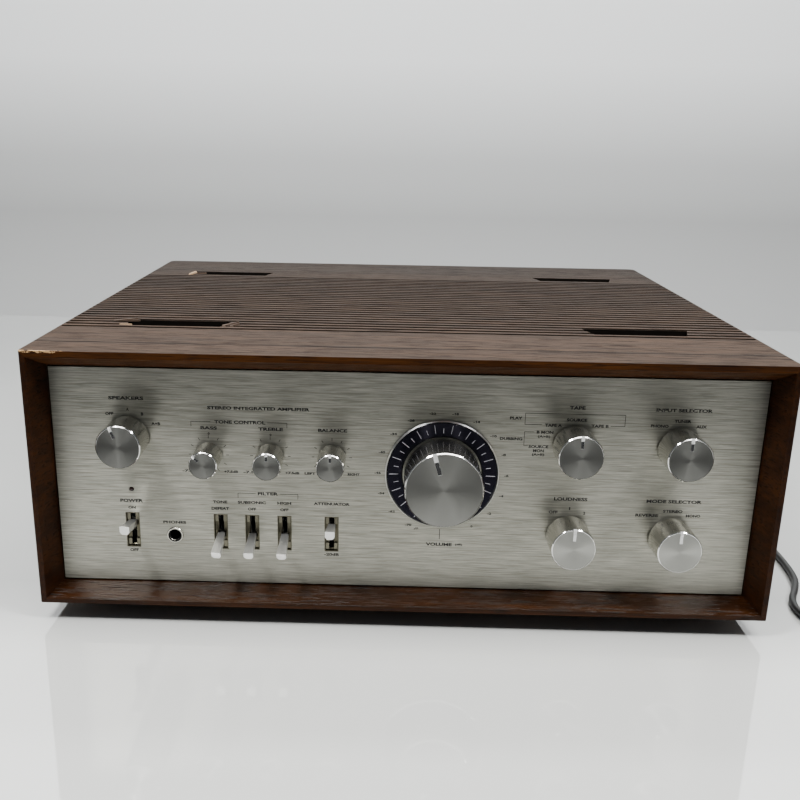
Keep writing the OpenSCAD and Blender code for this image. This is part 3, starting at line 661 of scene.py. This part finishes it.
def make_plug():
    """Moulded two-blade plug lying flat, with grips on its sides."""
    low, high = box_of("power_plug")
    centre = Vector((PLUG_X * MM, 0, (low.z + high.z) / 2))
    y0 = PLUG_Y * MM
    bm = bmesh.new()
    rings = []
    for along, half_x, half_z in PLUG_SECTIONS:
        ring = []
        for k in range(PLUG_SIDES):
            a = 2 * math.pi * k / PLUG_SIDES
            c, s = math.cos(a), math.sin(a)
            power = 0.55 if along > 9 else 0.9
            x = math.copysign(abs(c) ** power, c) * half_x * MM
            z = math.copysign(abs(s) ** power, s) * half_z * MM
            ring.append(bm.verts.new((centre.x + x, y0 + along * MM, centre.z + z)))
        rings.append(ring)
    for a, b in zip(rings, rings[1:]):
        bridge(bm, a, b)
    bm.faces.new(rings[0])
    bm.faces.new(rings[-1][::-1])
    for side in (-1, 1):
        for i in range(4):
            x = centre.x + side * 11.2 * MM
            y = y0 + (18 + 3 * i) * MM
            low = (x - 0.9 * MM, y, centre.z - 4 * MM)
            add_box(bm, low, (x + 0.9 * MM, y + 1.4 * MM, centre.z + 4 * MM))
    root = y0 + 31.9 * MM
    for side in (-1, 1):
        x = centre.x + side * BLADE_X - 0.75 * MM
        outline = scaled(*BLADE_OUTLINE)
        add_prism(bm, outline, 1.5 * MM, lambda u, v, w: Vector((x + w, root + v, centre.z + u)), 1)
    outward(bm)
    piece = add_mesh("mains_plug", bm, ("rubber", "brass"), sharp=45)
    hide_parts("power_plug")
    return piece


def make_tie():
    """Paper-covered wire tie round one side of the coil."""
    across = 2 * CORD_D
    x0, y0 = COIL_CENTRE
    half_w, half_h = across + 0.5, 1.5 * CORD_D - 0.1
    centre = Vector((x0, y0 + 26, CORD_Z + CORD_D + 0.3))
    data_points = []
    for k in range(24):
        a = 2 * math.pi * k / 24
        c, s = math.cos(a), math.sin(a)
        y = math.copysign(abs(c) ** 0.5, c) * half_w
        z = math.copysign(abs(s) ** 0.5, s) * half_h
        data_points.append(centre + Vector((0, y, z)))
    bm = bmesh.new()
    loops = []
    for dx in (-1.6, 1.6):
        loops.append([bm.verts.new((p + Vector((dx, 0, 0))) * MM) for p in data_points])
    bridge(bm, *loops)
    bmesh.ops.solidify(bm, geom=bm.faces, thickness=-0.35 * MM)
    outward(bm)
    piece = add_mesh("cord_tie", bm, "ink")
    return piece


# Broken wood at the vent slots: (x, y, length, width, turn, lift, material key), in millimetres and degrees

SPLINTERS = [
    (-187, 107, 7, 5, 20, 2.2, "bare_wood"), (-181, 111, 12, 1.2, -8, 1.0, "splinter"),
    (-188, -99, 16, 2.0, 12, 1.2, "splinter"), (-181, -103, 12, 2.4, -38, 2.0, "splinter"),
    (-184, -113, 8, 1.4, -12, 0.5, "bare_wood"), (-116, -106, 12, 2.0, 40, 1.2, "splinter"),
    (-113, -108, 8, 1.0, 50, 0.8, "splinter"),
]


def make_splinters():
    """Slivers of wood torn up at the ends of the left-hand slots."""
    rng = random.Random(4)
    made = bmesh.new()
    keys = ("splinter", "bare_wood")
    for x, y, length, width, turn, lift, key in SPLINTERS:
        spin = Matrix.Rotation(math.radians(turn), 4, "Z")
        low, high = (-length / 2, -width / 2, -1.0), (length / 2, width / 2, 0.2)
        for v in add_box(made, low, high, keys.index(key)):
            end = v.co.x > 0
            ragged = Vector(rng.uniform(-0.25, 0.25) * width for _ in range(2))
            y_share, raised = (0.3, lift) if end else (1, 0)
            shape = Vector((v.co.x + ragged.x, v.co.y * y_share + ragged.y, v.co.z + raised))
            v.co = (Vector((x, y, 0)) + spin @ shape) * MM + Vector((0, 0, TOP_Z))
    piece = add_mesh("slot_splinters", made, keys, smooth=False)


# Knobs

def make_knob(name):
    """Turned knob: bright chamfered rim, turned face, pointer milled into the face with a polished bar laid
    in.
    """
    node = name + "_knob"
    low, high = box_of(node)
    radius = (high.x - low.x) / 2
    length = high.y - low.y
    centre = Vector(((low.x + high.x) / 2, high.y, (low.z + high.z) / 2))
    body = name + "_control"
    place = facing_front(centre, KNOB_REST.get(name, 0))
    edge = 0.008 * radius + 0.35 * MM
    groove = 0.35 * MM
    profile = [
        (0, 0.4 * length), (radius * 0.82, 0.4 * length), (radius * 0.82, 0), (radius - 0.5 * MM, 0),
        (radius - 0.4 * MM, 0.6 * MM), (radius, 0.8 * MM), (radius, length - edge),
        (radius - edge * 0.9, length),
        (radius - edge * 1.2, length), (radius - edge * 1.2 - 0.08 * MM, length - 0.05 * MM),
        (radius * 0.5, length - 0.06 * MM), (0, length - 0.06 * MM),
    ]
    # The stretches round the back of the knob and its base chamfer take the dial's black: painted shade
    # where the knob meets the panel.
    slots = [3, 3, 3, 3, 1, 1, 2, 2, 2, 0, 0]
    bm = bmesh.new()
    add_lathe(bm, profile, place, 160, slots)
    piece = add_mesh(node + "_turned", bm, ("face", "side", "rim", "dial"), body, sharp=25)
    cut_pointer(piece, place, radius, length, groove, body)
    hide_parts(node)
    return piece


KNOB_REST = {"volume": -16, "speaker": -20, "bass": -46}
NOTCH_INNER = 0.78
BAR_INNER = 0.44


def cut_pointer(piece, place, radius, length, groove, body):
    """Mills the pointer's groove and lays a polished metal bar into its inner part."""
    half = radius * 0.034 + 0.5 * MM
    deep = 0.6 * MM
    cutter = bmesh.new()
    profile = [
        (radius * (BAR_INNER - 0.01), length - groove), (radius * NOTCH_INNER, length - groove),
        (radius * 1.05, length - deep * 2.6), (radius * 1.05, length + 1 * MM),
        (radius * (BAR_INNER - 0.01), length + 1 * MM),
    ]
    add_prism(cutter, profile, 2 * half, lambda u, v, w: place(w - half, u, v))
    mesh = bpy.data.meshes.new("cutter")
    cutter.to_mesh(mesh)
    cutter.free()
    mesh.materials.append(MATERIALS["notch"])
    tool = bpy.data.objects.new("cutter", mesh)
    link(tool)
    modifier = piece.modifiers.new("groove", "BOOLEAN")
    modifier.object = tool
    modifier.solver = "EXACT"
    modifier.material_mode = "TRANSFER"
    baked(piece)
    bpy.data.objects.remove(tool)
    bar = bmesh.new()
    near = (-half * 0.92, radius * BAR_INNER, length - groove)
    add_box(bar, near, (half * 0.92, radius * NOTCH_INNER, length - 0.12 * MM))
    for v in bar.verts:
        v.co = place(*v.co)
    outward(bar)
    inlay = add_mesh(piece.name + "_pointer", bar, "inlay", body)


# Volume dial

DIAL_STEP = 10
DIAL_FIRST, DIAL_LAST = -160, 150


def make_dial():
    """Black ring with a bright outer chamfer and a dished, polished scale with fine pale marks."""
    low, high = box_of("volume_dial")
    radius = (high.x - low.x) / 2
    centre = Vector(((low.x + high.x) / 2, PANEL_Y, (low.z + high.z) / 2))
    inner = radius - 10.8 * MM
    profile = [
        (inner, 0), (radius, 0), (radius, 0.8 * MM), (radius - 0.8 * MM, 1.7 * MM),
        (radius - 1.5 * MM, 1.8 * MM), (radius - 1.7 * MM, 1.55 * MM), (inner + 1.2 * MM, 1.0 * MM),
        (inner + 0.9 * MM, 0.5 * MM), (inner, 0.4 * MM), (inner, 0),
    ]
    bm = bmesh.new()
    add_lathe(bm, profile, facing_front(centre), 200, [0, 0, 1, 0, 0, 2, 0, 0, 0])
    dial = add_mesh("volume_dial_ring", bm, ("dial", "dial_edge", "band"), sharp=20)
    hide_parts("volume_dial")
    ticks = bmesh.new()
    for angle in range(DIAL_FIRST, DIAL_LAST + 1, DIAL_STEP):
        labelled = angle % 20 == 10 or angle in (DIAL_FIRST, DIAL_LAST)
        inside, outer = (26.8, 32.4) if labelled else (27.0, 30.0)
        low_end, high_end = (1.0 + 0.55 * (r - 25.3) / 7.9 for r in (inside, outer))
        spot = facing_front(centre, angle)
        add_tick(ticks, spot, 0.12 * MM, inside * MM, outer * MM, low_end * MM, high_end * MM)
    marks = add_mesh("volume_dial_ticks", ticks, "tick", smooth=False)


def add_tick(bm, place, half, inside, outer, low, high):
    """A thin radial mark that follows the dished scale, raised a hair above it."""
    lift = 0.06 * MM
    corners = [(-half, inside, low), (half, inside, low), (half, outer, high), (-half, outer, high)]
    bottom = [bm.verts.new(place(u, v, w - 0.1 * MM)) for u, v, w in corners]
    top = [bm.verts.new(place(u, v, w + lift)) for u, v, w in corners]
    faces = [bm.faces.new(top), bm.faces.new(bottom[::-1])] + bridge(bm, bottom, top)
    bmesh.ops.recalc_face_normals(bm, faces=faces)


# Levers and their slots

LEVERS = {"power": 1, "tone_defeat": -1, "subsonic": -1, "high_filter": -1, "attenuator": 1}
LEVER_SWING = 11
PIVOT_BEHIND = 20 * MM


def make_lever(name, side):
    """Flat-topped bright bar, wider towards its undercut nose, with cut lower corners, on a thin stem."""
    node = name + "_lever"
    low, high = box_of(node)
    pivot = Vector(((low.x + high.x) / 2, PANEL_Y + PIVOT_BEHIND, SLOT_Z))
    tilt = math.radians(side * LEVER_SWING)

    def place(u, v, w):
        """u across, v up the bar's own thickness, w forwards along the bar."""
        c, s = math.cos(tilt), math.sin(tilt)
        return pivot + Vector((u, v * s - w * c, w * s + v * c))

    nose, back = 40 * MM, 18.6 * MM

    def bar(u, v, w):
        """Places the bar's outline at its back (w = 0) and at its nose (w = 1)."""
        return place(u * (0.75 + 0.25 * w), v, back + w * (nose - back - 0.35 * (2.7 * MM - v)))

    section = [(-1.7, -2.7), (1.7, -2.7), (3.0, -1.0), (3.0, 2.7), (-3.0, 2.7), (-3.0, -1.0)]
    bm = bmesh.new()
    add_prism(bm, scaled(*section), 1, bar)
    stem = [(0.5 * MM, -2 * MM), (back + 0.2 * MM, -2 * MM), (back + 0.2 * MM, 2 * MM), (0.5 * MM, 2 * MM)]
    add_prism(bm, stem, 2.4 * MM, lambda w, v, u: place(u - 1.2 * MM, v, w), 1)
    for radius, half, segments in ((3.1, 1.2, 32), (1.5, 7.4, 24)):
        profile = scaled((0, -half), (radius, -half), (radius, half), (0, half))
        add_lathe(bm, profile, lambda u, v, w: place(w, v, u), segments, [1, 1, 1])
    piece = add_mesh(node + "_bar", bm, ("chrome", "steel"), name + "_switch", sharp=30)
    bevel(piece, 0.18 * MM, 2, 30)
    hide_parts(node)


SLOT_LOW, SLOT_HIGH = box_of("lever_slot_inserts")
SLOT_Z = (SLOT_LOW.z + SLOT_HIGH.z) / 2


def make_slot_trims():
    """Pressed trim in each slot: stepped sides round a black slit, with lighter blocks at the corners."""
    bm = bmesh.new()
    half_x, half_z, slit = 4.3 * MM, 11.7 * MM, 1.6 * MM
    for name in LEVERS:
        low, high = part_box(name + "_lever")
        place = facing_front(Vector(((low[0] + high[0]) / 2, PANEL_Y, SLOT_Z)))
        # Half width, half height and depth of each loop round the slot
        loops = [
            (half_x, half_z, -0.15 * MM), (half_x - 0.4 * MM, half_z - 0.4 * MM, -0.15 * MM),
            (half_x - 0.7 * MM, half_z - 0.8 * MM, -2.4 * MM), (slit, half_z - 1.2 * MM, -2.8 * MM),
            (slit, half_z - 1.2 * MM, -5.0 * MM), (half_x, half_z, -5.0 * MM),
        ]
        rings = [[bm.verts.new(place(sx * x, sz * z, w)) for sx, sz in ((-1, -1), (1, -1), (1, 1), (-1, 1))]
                 for x, z, w in loops]
        for a, b in zip(rings, rings[1:] + rings[:1]):
            bridge(bm, a, b)
        for sx in (-1, 1):
            for sz in (-1, 1):
                near = (sx * slit, sz * (half_z - 5.2 * MM), -2.9 * MM)
                far = (sx * (half_x - 0.7 * MM), sz * (half_z - 1.0 * MM), -1.4 * MM)
                lowest, highest = (tuple(pick(pair) for pair in zip(near, far)) for pick in (min, max))
                for v in add_box(bm, lowest, highest, 1):
                    v.co = place(*v.co)
    outward(bm)
    piece = add_mesh("lever_slot_trims", bm, ("trim", "trim_end"), sharp=20)
    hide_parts("lever_slot_inserts")


def make_headphone_socket():
    place = facing_front(Vector((middle("headphone_jack").x, PANEL_Y, middle("headphone_jack").z)))
    profile = scaled(
        (3.25, -24), (3.25, 0.1), (3.45, 0.4), (3.7, 0.15), (4.1, 0.15), (4.3, 0.8), (4.95, 0.85),
        (5.3, 0.4), (5.3, 0), (4.4, 0), (4.4, -16), (7, -16), (7, -28), (0, -28), (0, -24), (3.25, -24),
    )
    bm = bmesh.new()
    # The bore, the groove round it and the hidden back take the near black: painted shade.
    add_lathe(bm, profile, place, 72, [1, 0, 1, 1, 1] + [0] * 4 + [1] * 6)
    piece = add_mesh("headphone_socket", bm, ("ring", "hollow"), sharp=30)
    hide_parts("headphone_jack")


def make_lamp():
    centre = Vector((middle("power_lamp").x, PANEL_Y, middle("power_lamp").z))
    profile = scaled((0, -9.5), (1.5, -9.5), (1.5, -0.6), (1.2, -0.2), (0.6, 0.0), (0, 0.05))
    bm = bmesh.new()
    add_lathe(bm, profile, facing_front(centre), 40)
    piece = add_mesh("power_lamp_lens", bm, "lamp")
    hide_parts("power_lamp")


# Printed legends

INK_PROUD = 0.035 * MM


class Print:
    """Collects the panel's printed words and lines in one mesh."""

    def __init__(self):
        self.bm = bmesh.new()

    def words(self, text, x, z, width, height=1.75):
        """Text centred at x, z (metres), made width by height millimetres, capitals measured."""
        data = bpy.data.curves.new("legend", "FONT")
        data.body = text
        data.size = 1
        data.align_x = "LEFT"
        data.resolution_u = 3
        data.offset = 0.04
        carrier = bpy.data.objects.new("legend", data)
        link(carrier)
        mesh = bpy.data.meshes.new_from_object(carrier.evaluated_get(bpy.context.evaluated_depsgraph_get()))
        bpy.data.objects.remove(carrier)
        xs = [v.co.x for v in mesh.vertices]
        ys = [v.co.y for v in mesh.vertices]
        wide, tall = max(xs) - min(xs), max(ys) - min(ys)
        for v in mesh.vertices:
            u = ((v.co.x - min(xs)) / wide - 0.5) * width * MM
            w = ((v.co.y - min(ys)) / tall - 0.5) * height * 1.08 * MM
            v.co = (x + u, PANEL_Y - INK_PROUD, z + w)
        self.bm.from_mesh(mesh)
        bpy.data.meshes.remove(mesh)

    def line(self, *points, width=0.3):
        """Straight strokes through points (x, z) in metres."""
        half = width * MM / 2
        for (x0, z0), (x1, z1) in zip(points, points[1:]):
            along = Vector((x1 - x0, z1 - z0)).normalized() * half
            side = Vector((-along.y, along.x))
            a, b = Vector((x0, z0)) - along, Vector((x1, z1)) + along
            corners = [a - side, b - side, b + side, a + side]
            self.bm.faces.new([self.bm.verts.new((c.x, PANEL_Y - INK_PROUD, c.y)) for c in corners])

    def finish(self):
        made = bmesh.ops.extrude_face_region(self.bm, geom=self.bm.faces[:])["geom"]
        for v in (g for g in made if isinstance(g, bmesh.types.BMVert)):
            v.co.y = PANEL_Y + 0.02 * MM
        outward(self.bm)
        piece = add_mesh("panel_legends", self.bm, "ink", smooth=False)


# Words on the panel: (text, right, up, width, height) in millimetres from the middle of a control
WORDS = {
    "speaker_knob": [
        ("SPEAKERS", 0, 24.1, 21.3, 2.0), ("OFF", -10.6, 14.1, 5.0), ("A", 0.6, 17, 1.6),
        ("B", 9.4, 14.2, 1.5), ("A+B", 17.4, 8.2, 5.4),
    ],
    "tape_knob": [
        ("TAPE", 0.2, 24.1, 9.4, 2.0), ("SOURCE", 0.4, 16.5, 12.2), ("TAPE A", -13.5, 12.8, 10.2),
        ("TAPE B", 14.4, 12.9, 10.4), ("PLAY", -36.1, 16.9, 7.5), ("B MON", -18.2, 8.3, 10.0),
        ("(A>B)", -18.6, 5.4, 7.6), ("DUBBING", -38.4, 3.7, 13.6), ("SOURCE", -21.6, -1.0, 12.0),
        ("MON", -21.4, -3.6, 6.6), ("(A>B)", -21.5, -6.2, 7.6),
    ],
    "input_knob": [
        ("INPUT SELECTOR", 0.5, 23.8, 33.5, 2.0), ("PHONO", -13.3, 13.8, 10.6),
        ("TUNER", 0.2, 17, 10.0), ("AUX", 11.6, 13.8, 6.4),
    ],
    "loudness_knob": [
        ("LOUDNESS", 0.5, 23.8, 20.6, 2.0), ("OFF", -9.7, 15.0, 5.6), ("1", 0.3, 17.6, 0.7),
        ("2", 9.5, 14.7, 1.3),
    ],
    "mode_knob": [
        ("MODE SELECTOR", 0.5, 23.7, 33.8, 2.0), ("REVERSE", -15.3, 14.3, 14.0),
        ("STEREO", 0.4, 17.3, 12.0), ("MONO", 13.1, 14.5, 8.8),
    ],
    "headphone_jack": [("PHONES", 0, 8.7, 14.4)],
}
TAPE_LINES = [
    [(-20.4, 13.1), (-30.6, 13.1), (-30.6, 20.1), (29.2, 20.1), (29.2, 13.0), (20.9, 13.0)],
    [(-24.8, 8.4), (-30.5, 8.4), (-30.5, -0.4), (-28.2, -0.4)],
]
# Words at the levers: (text, up, width, height)
LEVER_WORDS = {
    "power": [("POWER", 19.7, 14.2, 2.0), ("ON", 15.1, 4.6), ("OFF", -13.9, 5.4)],
    "tone_defeat": [("TONE", 20.2, 9.0), ("DEFEAT", 15.8, 11.0)],
    "subsonic": [("SUBSONIC", 20.2, 17.6), ("OFF", 15.8, 5.2)],
    "high_filter": [("HIGH", 20.2, 8.6), ("OFF", 15.8, 5.2)],
    "attenuator": [("ATTENUATOR", 20.5, 22.4), ("-20dB", -13.8, 9.4)],
}
TONE_WORDS = {
    "bass_knob": ("BASS", "-7.5", "+7.5dB"), "treble_knob": ("TREBLE", "-7.5", "+7.5dB"),
    "balance_knob": ("BALANCE", "LEFT", "RIGHT"),
}
# Volume scale: angle of the mark and its number
DECIBELS = {
    -160: "-∞", -150: "-70", -130: "-62", -110: "-54", -90: "-46", -70: "-40", -50: "-34", -30: "-28",
    -10: "-22", 10: "-18", 30: "-14", 50: "-10", 70: "-8", 90: "-6", 110: "-4", 130: "-2", 150: "0",
}


def beside(node, right, up):
    """A point (x, z) on the panel, given in millimetres from the middle of a control."""
    centre = middle(node)
    return centre.x + right * MM, centre.z + up * MM


def add_bracket(ink, x, z, start, end):
    """Lines that run out to both sides of a group's title and turn down."""
    for s in (-1, 1):
        corner = x + s * end * MM
        ink.line((x + s * start * MM, z), (corner, z), (corner, z - 3 * MM))


def add_tone_legends(ink):
    for name, (label, left, right) in TONE_WORDS.items():
        ink.words(label, *beside(name, 0.4, 17.2), 2.52 * len(label), 1.9)
        ink.words(left, *beside(name, -13.4, -10.9), 1.7 * len(left), 1.5)
        ink.words(right, *beside(name, 13.4, -10.9), 1.45 * len(right), 1.5)
        if name != "balance_knob":
            ink.words("0", *beside(name, 0.3, 13.6), 1.2, 1.4)
        for angle in range(-150, 151, 30):
            a = math.radians(angle)
            reach = (10.9, 12.2) if angle else (10.6, 12.4)
            ink.line(*(beside(name, r * math.sin(a), r * math.cos(a)) for r in reach), width=0.35)


def make_legends():
    ink = Print()
    for name, words in WORDS.items():
        for text, right, up, *size in words:
            ink.words(text, *beside(name, right, up), *size)
    for points in TAPE_LINES:
        ink.line(*(beside("tape_knob", *p) for p in points))
    for name, words in LEVER_WORDS.items():
        for text, up, *size in words:
            ink.words(text, middle(name + "_lever").x, SLOT_Z + up * MM, *size)
    middle_x = (middle("bass_knob").x + middle("treble_knob").x) / 2
    top = beside("bass_knob", 0, 21.2)[1]
    ink.words("TONE CONTROL", middle_x + 0.6 * MM, top, 31, 2.0)
    add_bracket(ink, middle_x, top, 17.4, 29.2)
    add_tone_legends(ink)
    filter_x = (middle("subsonic_lever").x + middle("high_filter_lever").x) / 2
    filter_z = SLOT_Z + 26.3 * MM
    ink.words("FILTER", filter_x, filter_z, 12.6, 1.9)
    add_bracket(ink, filter_x, filter_z, 7.8, 18.6)
    title_z = beside("volume_knob", 0, 39.5)[1]
    ink.words("STEREO INTEGRATED AMPLIFIER", middle_x + 12 * MM, title_z, 62, 1.9)
    for angle, text in DECIBELS.items():
        a = math.radians(angle if angle != -160 else -158)
        spot = beside("volume_knob", 39.4 * math.sin(a), 39.4 * math.cos(a))
        ink.words(text, *spot, 1.35 * len(text), 1.35)
    ink.line(*(beside("volume_knob", 0, up) for up in (-36.8, -43.2)), width=0.4)
    ink.words("VOLUME", *beside("volume_knob", -0.2, -46.9), 16.3, 2.0)
    ink.words("(dB)", *beside("volume_knob", 12.2, -46.9), 4.6, 1.5)
    ink.finish()


# Rear

def make_sockets():
    """Phono sockets: bright shells on a bakelite strip, with red and white insulators."""
    low, high = box_of("input_sockets")
    columns, pitch_x, pitch_z = 8, 18 * MM, 20 * MM
    margin = 9 * MM
    strip = bmesh.new()
    add_box(strip, low, (high.x, REAR_PANEL_Y + 1.5 * MM, high.z))
    plate = bevel(add_mesh("socket_strip", strip, "gloss_black"), 0.3 * MM)
    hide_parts("input_sockets")
    shells = bmesh.new()
    for i in range(columns):
        for j in range(2):
            centre = Vector((low.x + margin + i * pitch_x, REAR_PANEL_Y, low.z + margin + j * pitch_z))
            place = facing_rear(centre)
            profile = scaled(
                (0, 7.5), (1.5, 7.5), (1.5, 9.9), (1.9, 9.9), (1.9, 9.7), (3.5, 9.7), (3.5, 10.3),
                (3.9, 10.49), (4.15, 10.2), (4.15, 2.6), (6.0, 2.5), (6.0, 1.4),
            )
            insulator = 1 + j
            # The pin's hole takes the near black: painted shade.
            add_lathe(shells, profile, place, 36, [3, 3, 0, 0, insulator, 0, 0, 0, 0, 0, 0])
    piece = add_mesh("phono_sockets", shells, ("chrome", "red", "white", "hollow"), sharp=35)


def make_speaker_terminals():
    """Screw-down terminals with ribbed caps, red and black."""
    low, high = box_of("speaker_terminals")
    pitch, margin, columns = 17 * MM, 12 * MM, 4
    base = bmesh.new()
    add_box(base, low, (high.x, REAR_PANEL_Y + 3 * MM, high.z))
    plate = bevel(add_mesh("terminal_base", base, "gloss_black"), 0.6 * MM, 3)
    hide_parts("speaker_terminals")
    caps = bmesh.new()
    for i in range(columns):
        for j in range(2):
            centre = Vector((low.x + margin + i * pitch, REAR_PANEL_Y, low.z + margin + j * pitch))
            place = facing_rear(centre)
            colour = j
            add_lathe(caps, scaled((2.4, 2.9), (2.4, 7.2)), place, 24, [2])
            cap = scaled((0, 7), (5.2, 7), (5.5, 7.4), (5.5, 16.2), (4.9, 16.9), (2.2, 16.9), (2.0, 16.3),
                         (0, 16.3))
            add_lathe(caps, cap, place, 48, [colour] * 7)
            for k in range(16):
                spot = facing_rear_turned(centre, 360 * k / 16)
                add_rib(caps, spot, 5.4 * MM, 7.6 * MM, 16.0 * MM, colour)
    piece = add_mesh("terminal_caps", caps, ("gloss_black", "red", "brass"), sharp=35)


def facing_rear_turned(centre, turn):
    c, s = math.cos(math.radians(turn)), math.sin(math.radians(turn))
    return lambda u, v, w: Vector((centre.x + u * c + v * s, centre.y + w, centre.z - u * s + v * c))


def add_rib(bm, place, radius, low, high, index):
    made = add_box(bm, (-0.35 * MM, radius - 0.3 * MM, low), (0.35 * MM, radius + 0.45 * MM, high), index)
    for v in made:
        v.co = place(*v.co)


def make_rear_screws():
    """Pan-head screws round the rear panel and on the terminal strips."""
    low, high = box_of("rear_panel")
    inset = 7 * MM
    columns = (low.x + inset, -0.12, 0.02, high.x - inset)
    spots = [(x, z) for x in columns for z in (low.z + inset, high.z - inset)]
    for node in ("input_sockets", "speaker_terminals"):
        a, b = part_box(node)
        spots += [(a[0] - 4 * MM, (a[2] + b[2]) / 2), (b[0] + 3.5 * MM, (a[2] + b[2]) / 2)]
    bm = bmesh.new()
    for x, z in spots:
        place = facing_rear(Vector((x, REAR_PANEL_Y, z)))
        profile = scaled((2.9, -0.2), (2.9, 0.5), (2.2, 1.3), (0.9, 1.55), (0.8, 0.7), (0, 0.7))
        add_lathe(bm, profile, place, 24)
        # Thin near-black strips across each head stand for the slot: painted shade.
        for turn in (35, 125):
            spot = facing_rear_turned(Vector((x, REAR_PANEL_Y, z)), turn)
            for v in add_box(bm, *scaled((-0.3, -1.5, 1.35), (0.3, 1.5, 1.5)), 1):
                v.co = spot(*v.co)
    piece = add_mesh("rear_screws", bm, ("steel", "hollow"), sharp=40)


# Studio

FLOOR_HALF = 3.0
TABLE_FRONT_Y = -0.362


def make_studio():
    """Glossy pale table top and a soft backdrop."""
    floor_look = new_material("table_gloss", (0.78, 0.79, 0.77), 0.03, IOR=2.5)
    g = Graph(floor_look)
    smears = g.noise(g.place(), 5, 4, 0.6)
    # Beyond the table's front edge the floor is painted near black: painted shade standing in for the dark,
    # unlit room.
    front = g.between(g.axis("Y"), TABLE_FRONT_Y + 0.004, TABLE_FRONT_Y)
    # The table is painted darker towards the rear in two steps: painted shade where the light falls off.
    pale = g.mix(g.between(g.axis("Y"), -0.23, -0.14), (0.80, 0.81, 0.79), (0.50, 0.51, 0.50))
    pale = g.mix(g.between(g.axis("Y"), 0.0, 0.6), pale, (0.40, 0.41, 0.405))
    g.set(Base_Color=g.mix(front, pale, (0.03, 0.03, 0.03)), Roughness=g.span(smears, 0.02, 0.07))
    bm = bmesh.new()
    corners = [(-FLOOR_HALF, -1.6), (FLOOR_HALF, -1.6), (FLOOR_HALF, 0.75), (-FLOOR_HALF, 0.75)]
    bm.faces.new([bm.verts.new((x, y, -0.0004)) for x, y in corners])
    add_stage("table", bm, floor_look)
    wall_look = new_material("backdrop", (0.5, 0.5, 0.5), 0.9)
    g = Graph(wall_look)
    # The backdrop is painted darker low down and lighter up high: painted light and shade.
    g.set(Base_Color=g.mix(g.between(g.axis("Z"), 0.15, 0.42), (0.29, 0.295, 0.295), (0.74, 0.755, 0.76)))
    bm = bmesh.new()
    steps = 24
    rows = []
    for i in range(steps + 1):
        a = math.pi / 2 * i / steps
        y, z = 0.75 + 0.25 * math.sin(a), 0.25 - 0.25 * math.cos(a) - 0.0004
        rows.append([bm.verts.new((x, y, z)) for x in (-FLOOR_HALF, FLOOR_HALF)])
    rows.append([bm.verts.new((x, 1.0, 3.0)) for x in (-FLOOR_HALF, FLOOR_HALF)])
    for a, b in zip(rows, rows[1:]):
        bm.faces.new((a[0], a[1], b[1], b[0]))
    wall = add_stage("backdrop", bm, wall_look)
    wall.data.shade_smooth()


def add_stage(name, bm, material):
    mesh = bpy.data.meshes.new(name)
    bm.to_mesh(mesh)
    bm.free()
    mesh.materials.append(material)
    made = bpy.data.objects.new(name, mesh)
    link(made)
    return made


def add_light(name, place, aim, size, power, colour=(1, 1, 1)):
    data = bpy.data.lights.new(name, "AREA")
    data.shape = "RECTANGLE"
    data.size, data.size_y = size
    data.energy = power
    data.color = colour
    lamp = bpy.data.objects.new(name, data)
    lamp.location = place
    lamp.rotation_euler = (Vector(aim) - Vector(place)).to_track_quat("-Z", "Y").to_euler()
    link(lamp)


def light_studio():
    world = bpy.data.worlds.new("studio")
    world.use_nodes = True
    world.node_tree.nodes["Background"].inputs["Color"].default_value = (0.88, 0.94, 1.0, 1)
    world.node_tree.nodes["Background"].inputs["Strength"].default_value = 0.09
    bpy.context.scene.world = world
    add_light("overhead", (0.0, -0.3, 1.5), (0, -0.3, 0), (1.7, 0.6), 28, (1.0, 0.985, 0.95))
    add_light("left_lamp", (-0.55, -0.55, 1.15), (0, -0.2, 0.1), (0.2, 0.2), 12)
    add_light("right_lamp", (0.77, -0.55, 1.15), (0, -0.2, 0.1), (0.2, 0.2), 12)
    add_light("backdrop_wash", (0.0, 0.55, 1.3), (0, 1.0, 0.55), (2.6, 0.3), 31)


def make_all():
    make_camera()
    make_materials()
    make_cord()
    dress_cad_nodes()
    for name in KNOBS:
        make_knob(name)
    make_dial()
    for name, side in LEVERS.items():
        make_lever(name, side)
    make_slot_trims()
    make_headphone_socket()
    make_lamp()
    make_splinters()
    make_legends()
    make_sockets()
    make_speaker_terminals()
    make_rear_screws()
    make_studio()
    light_studio()


make_all()
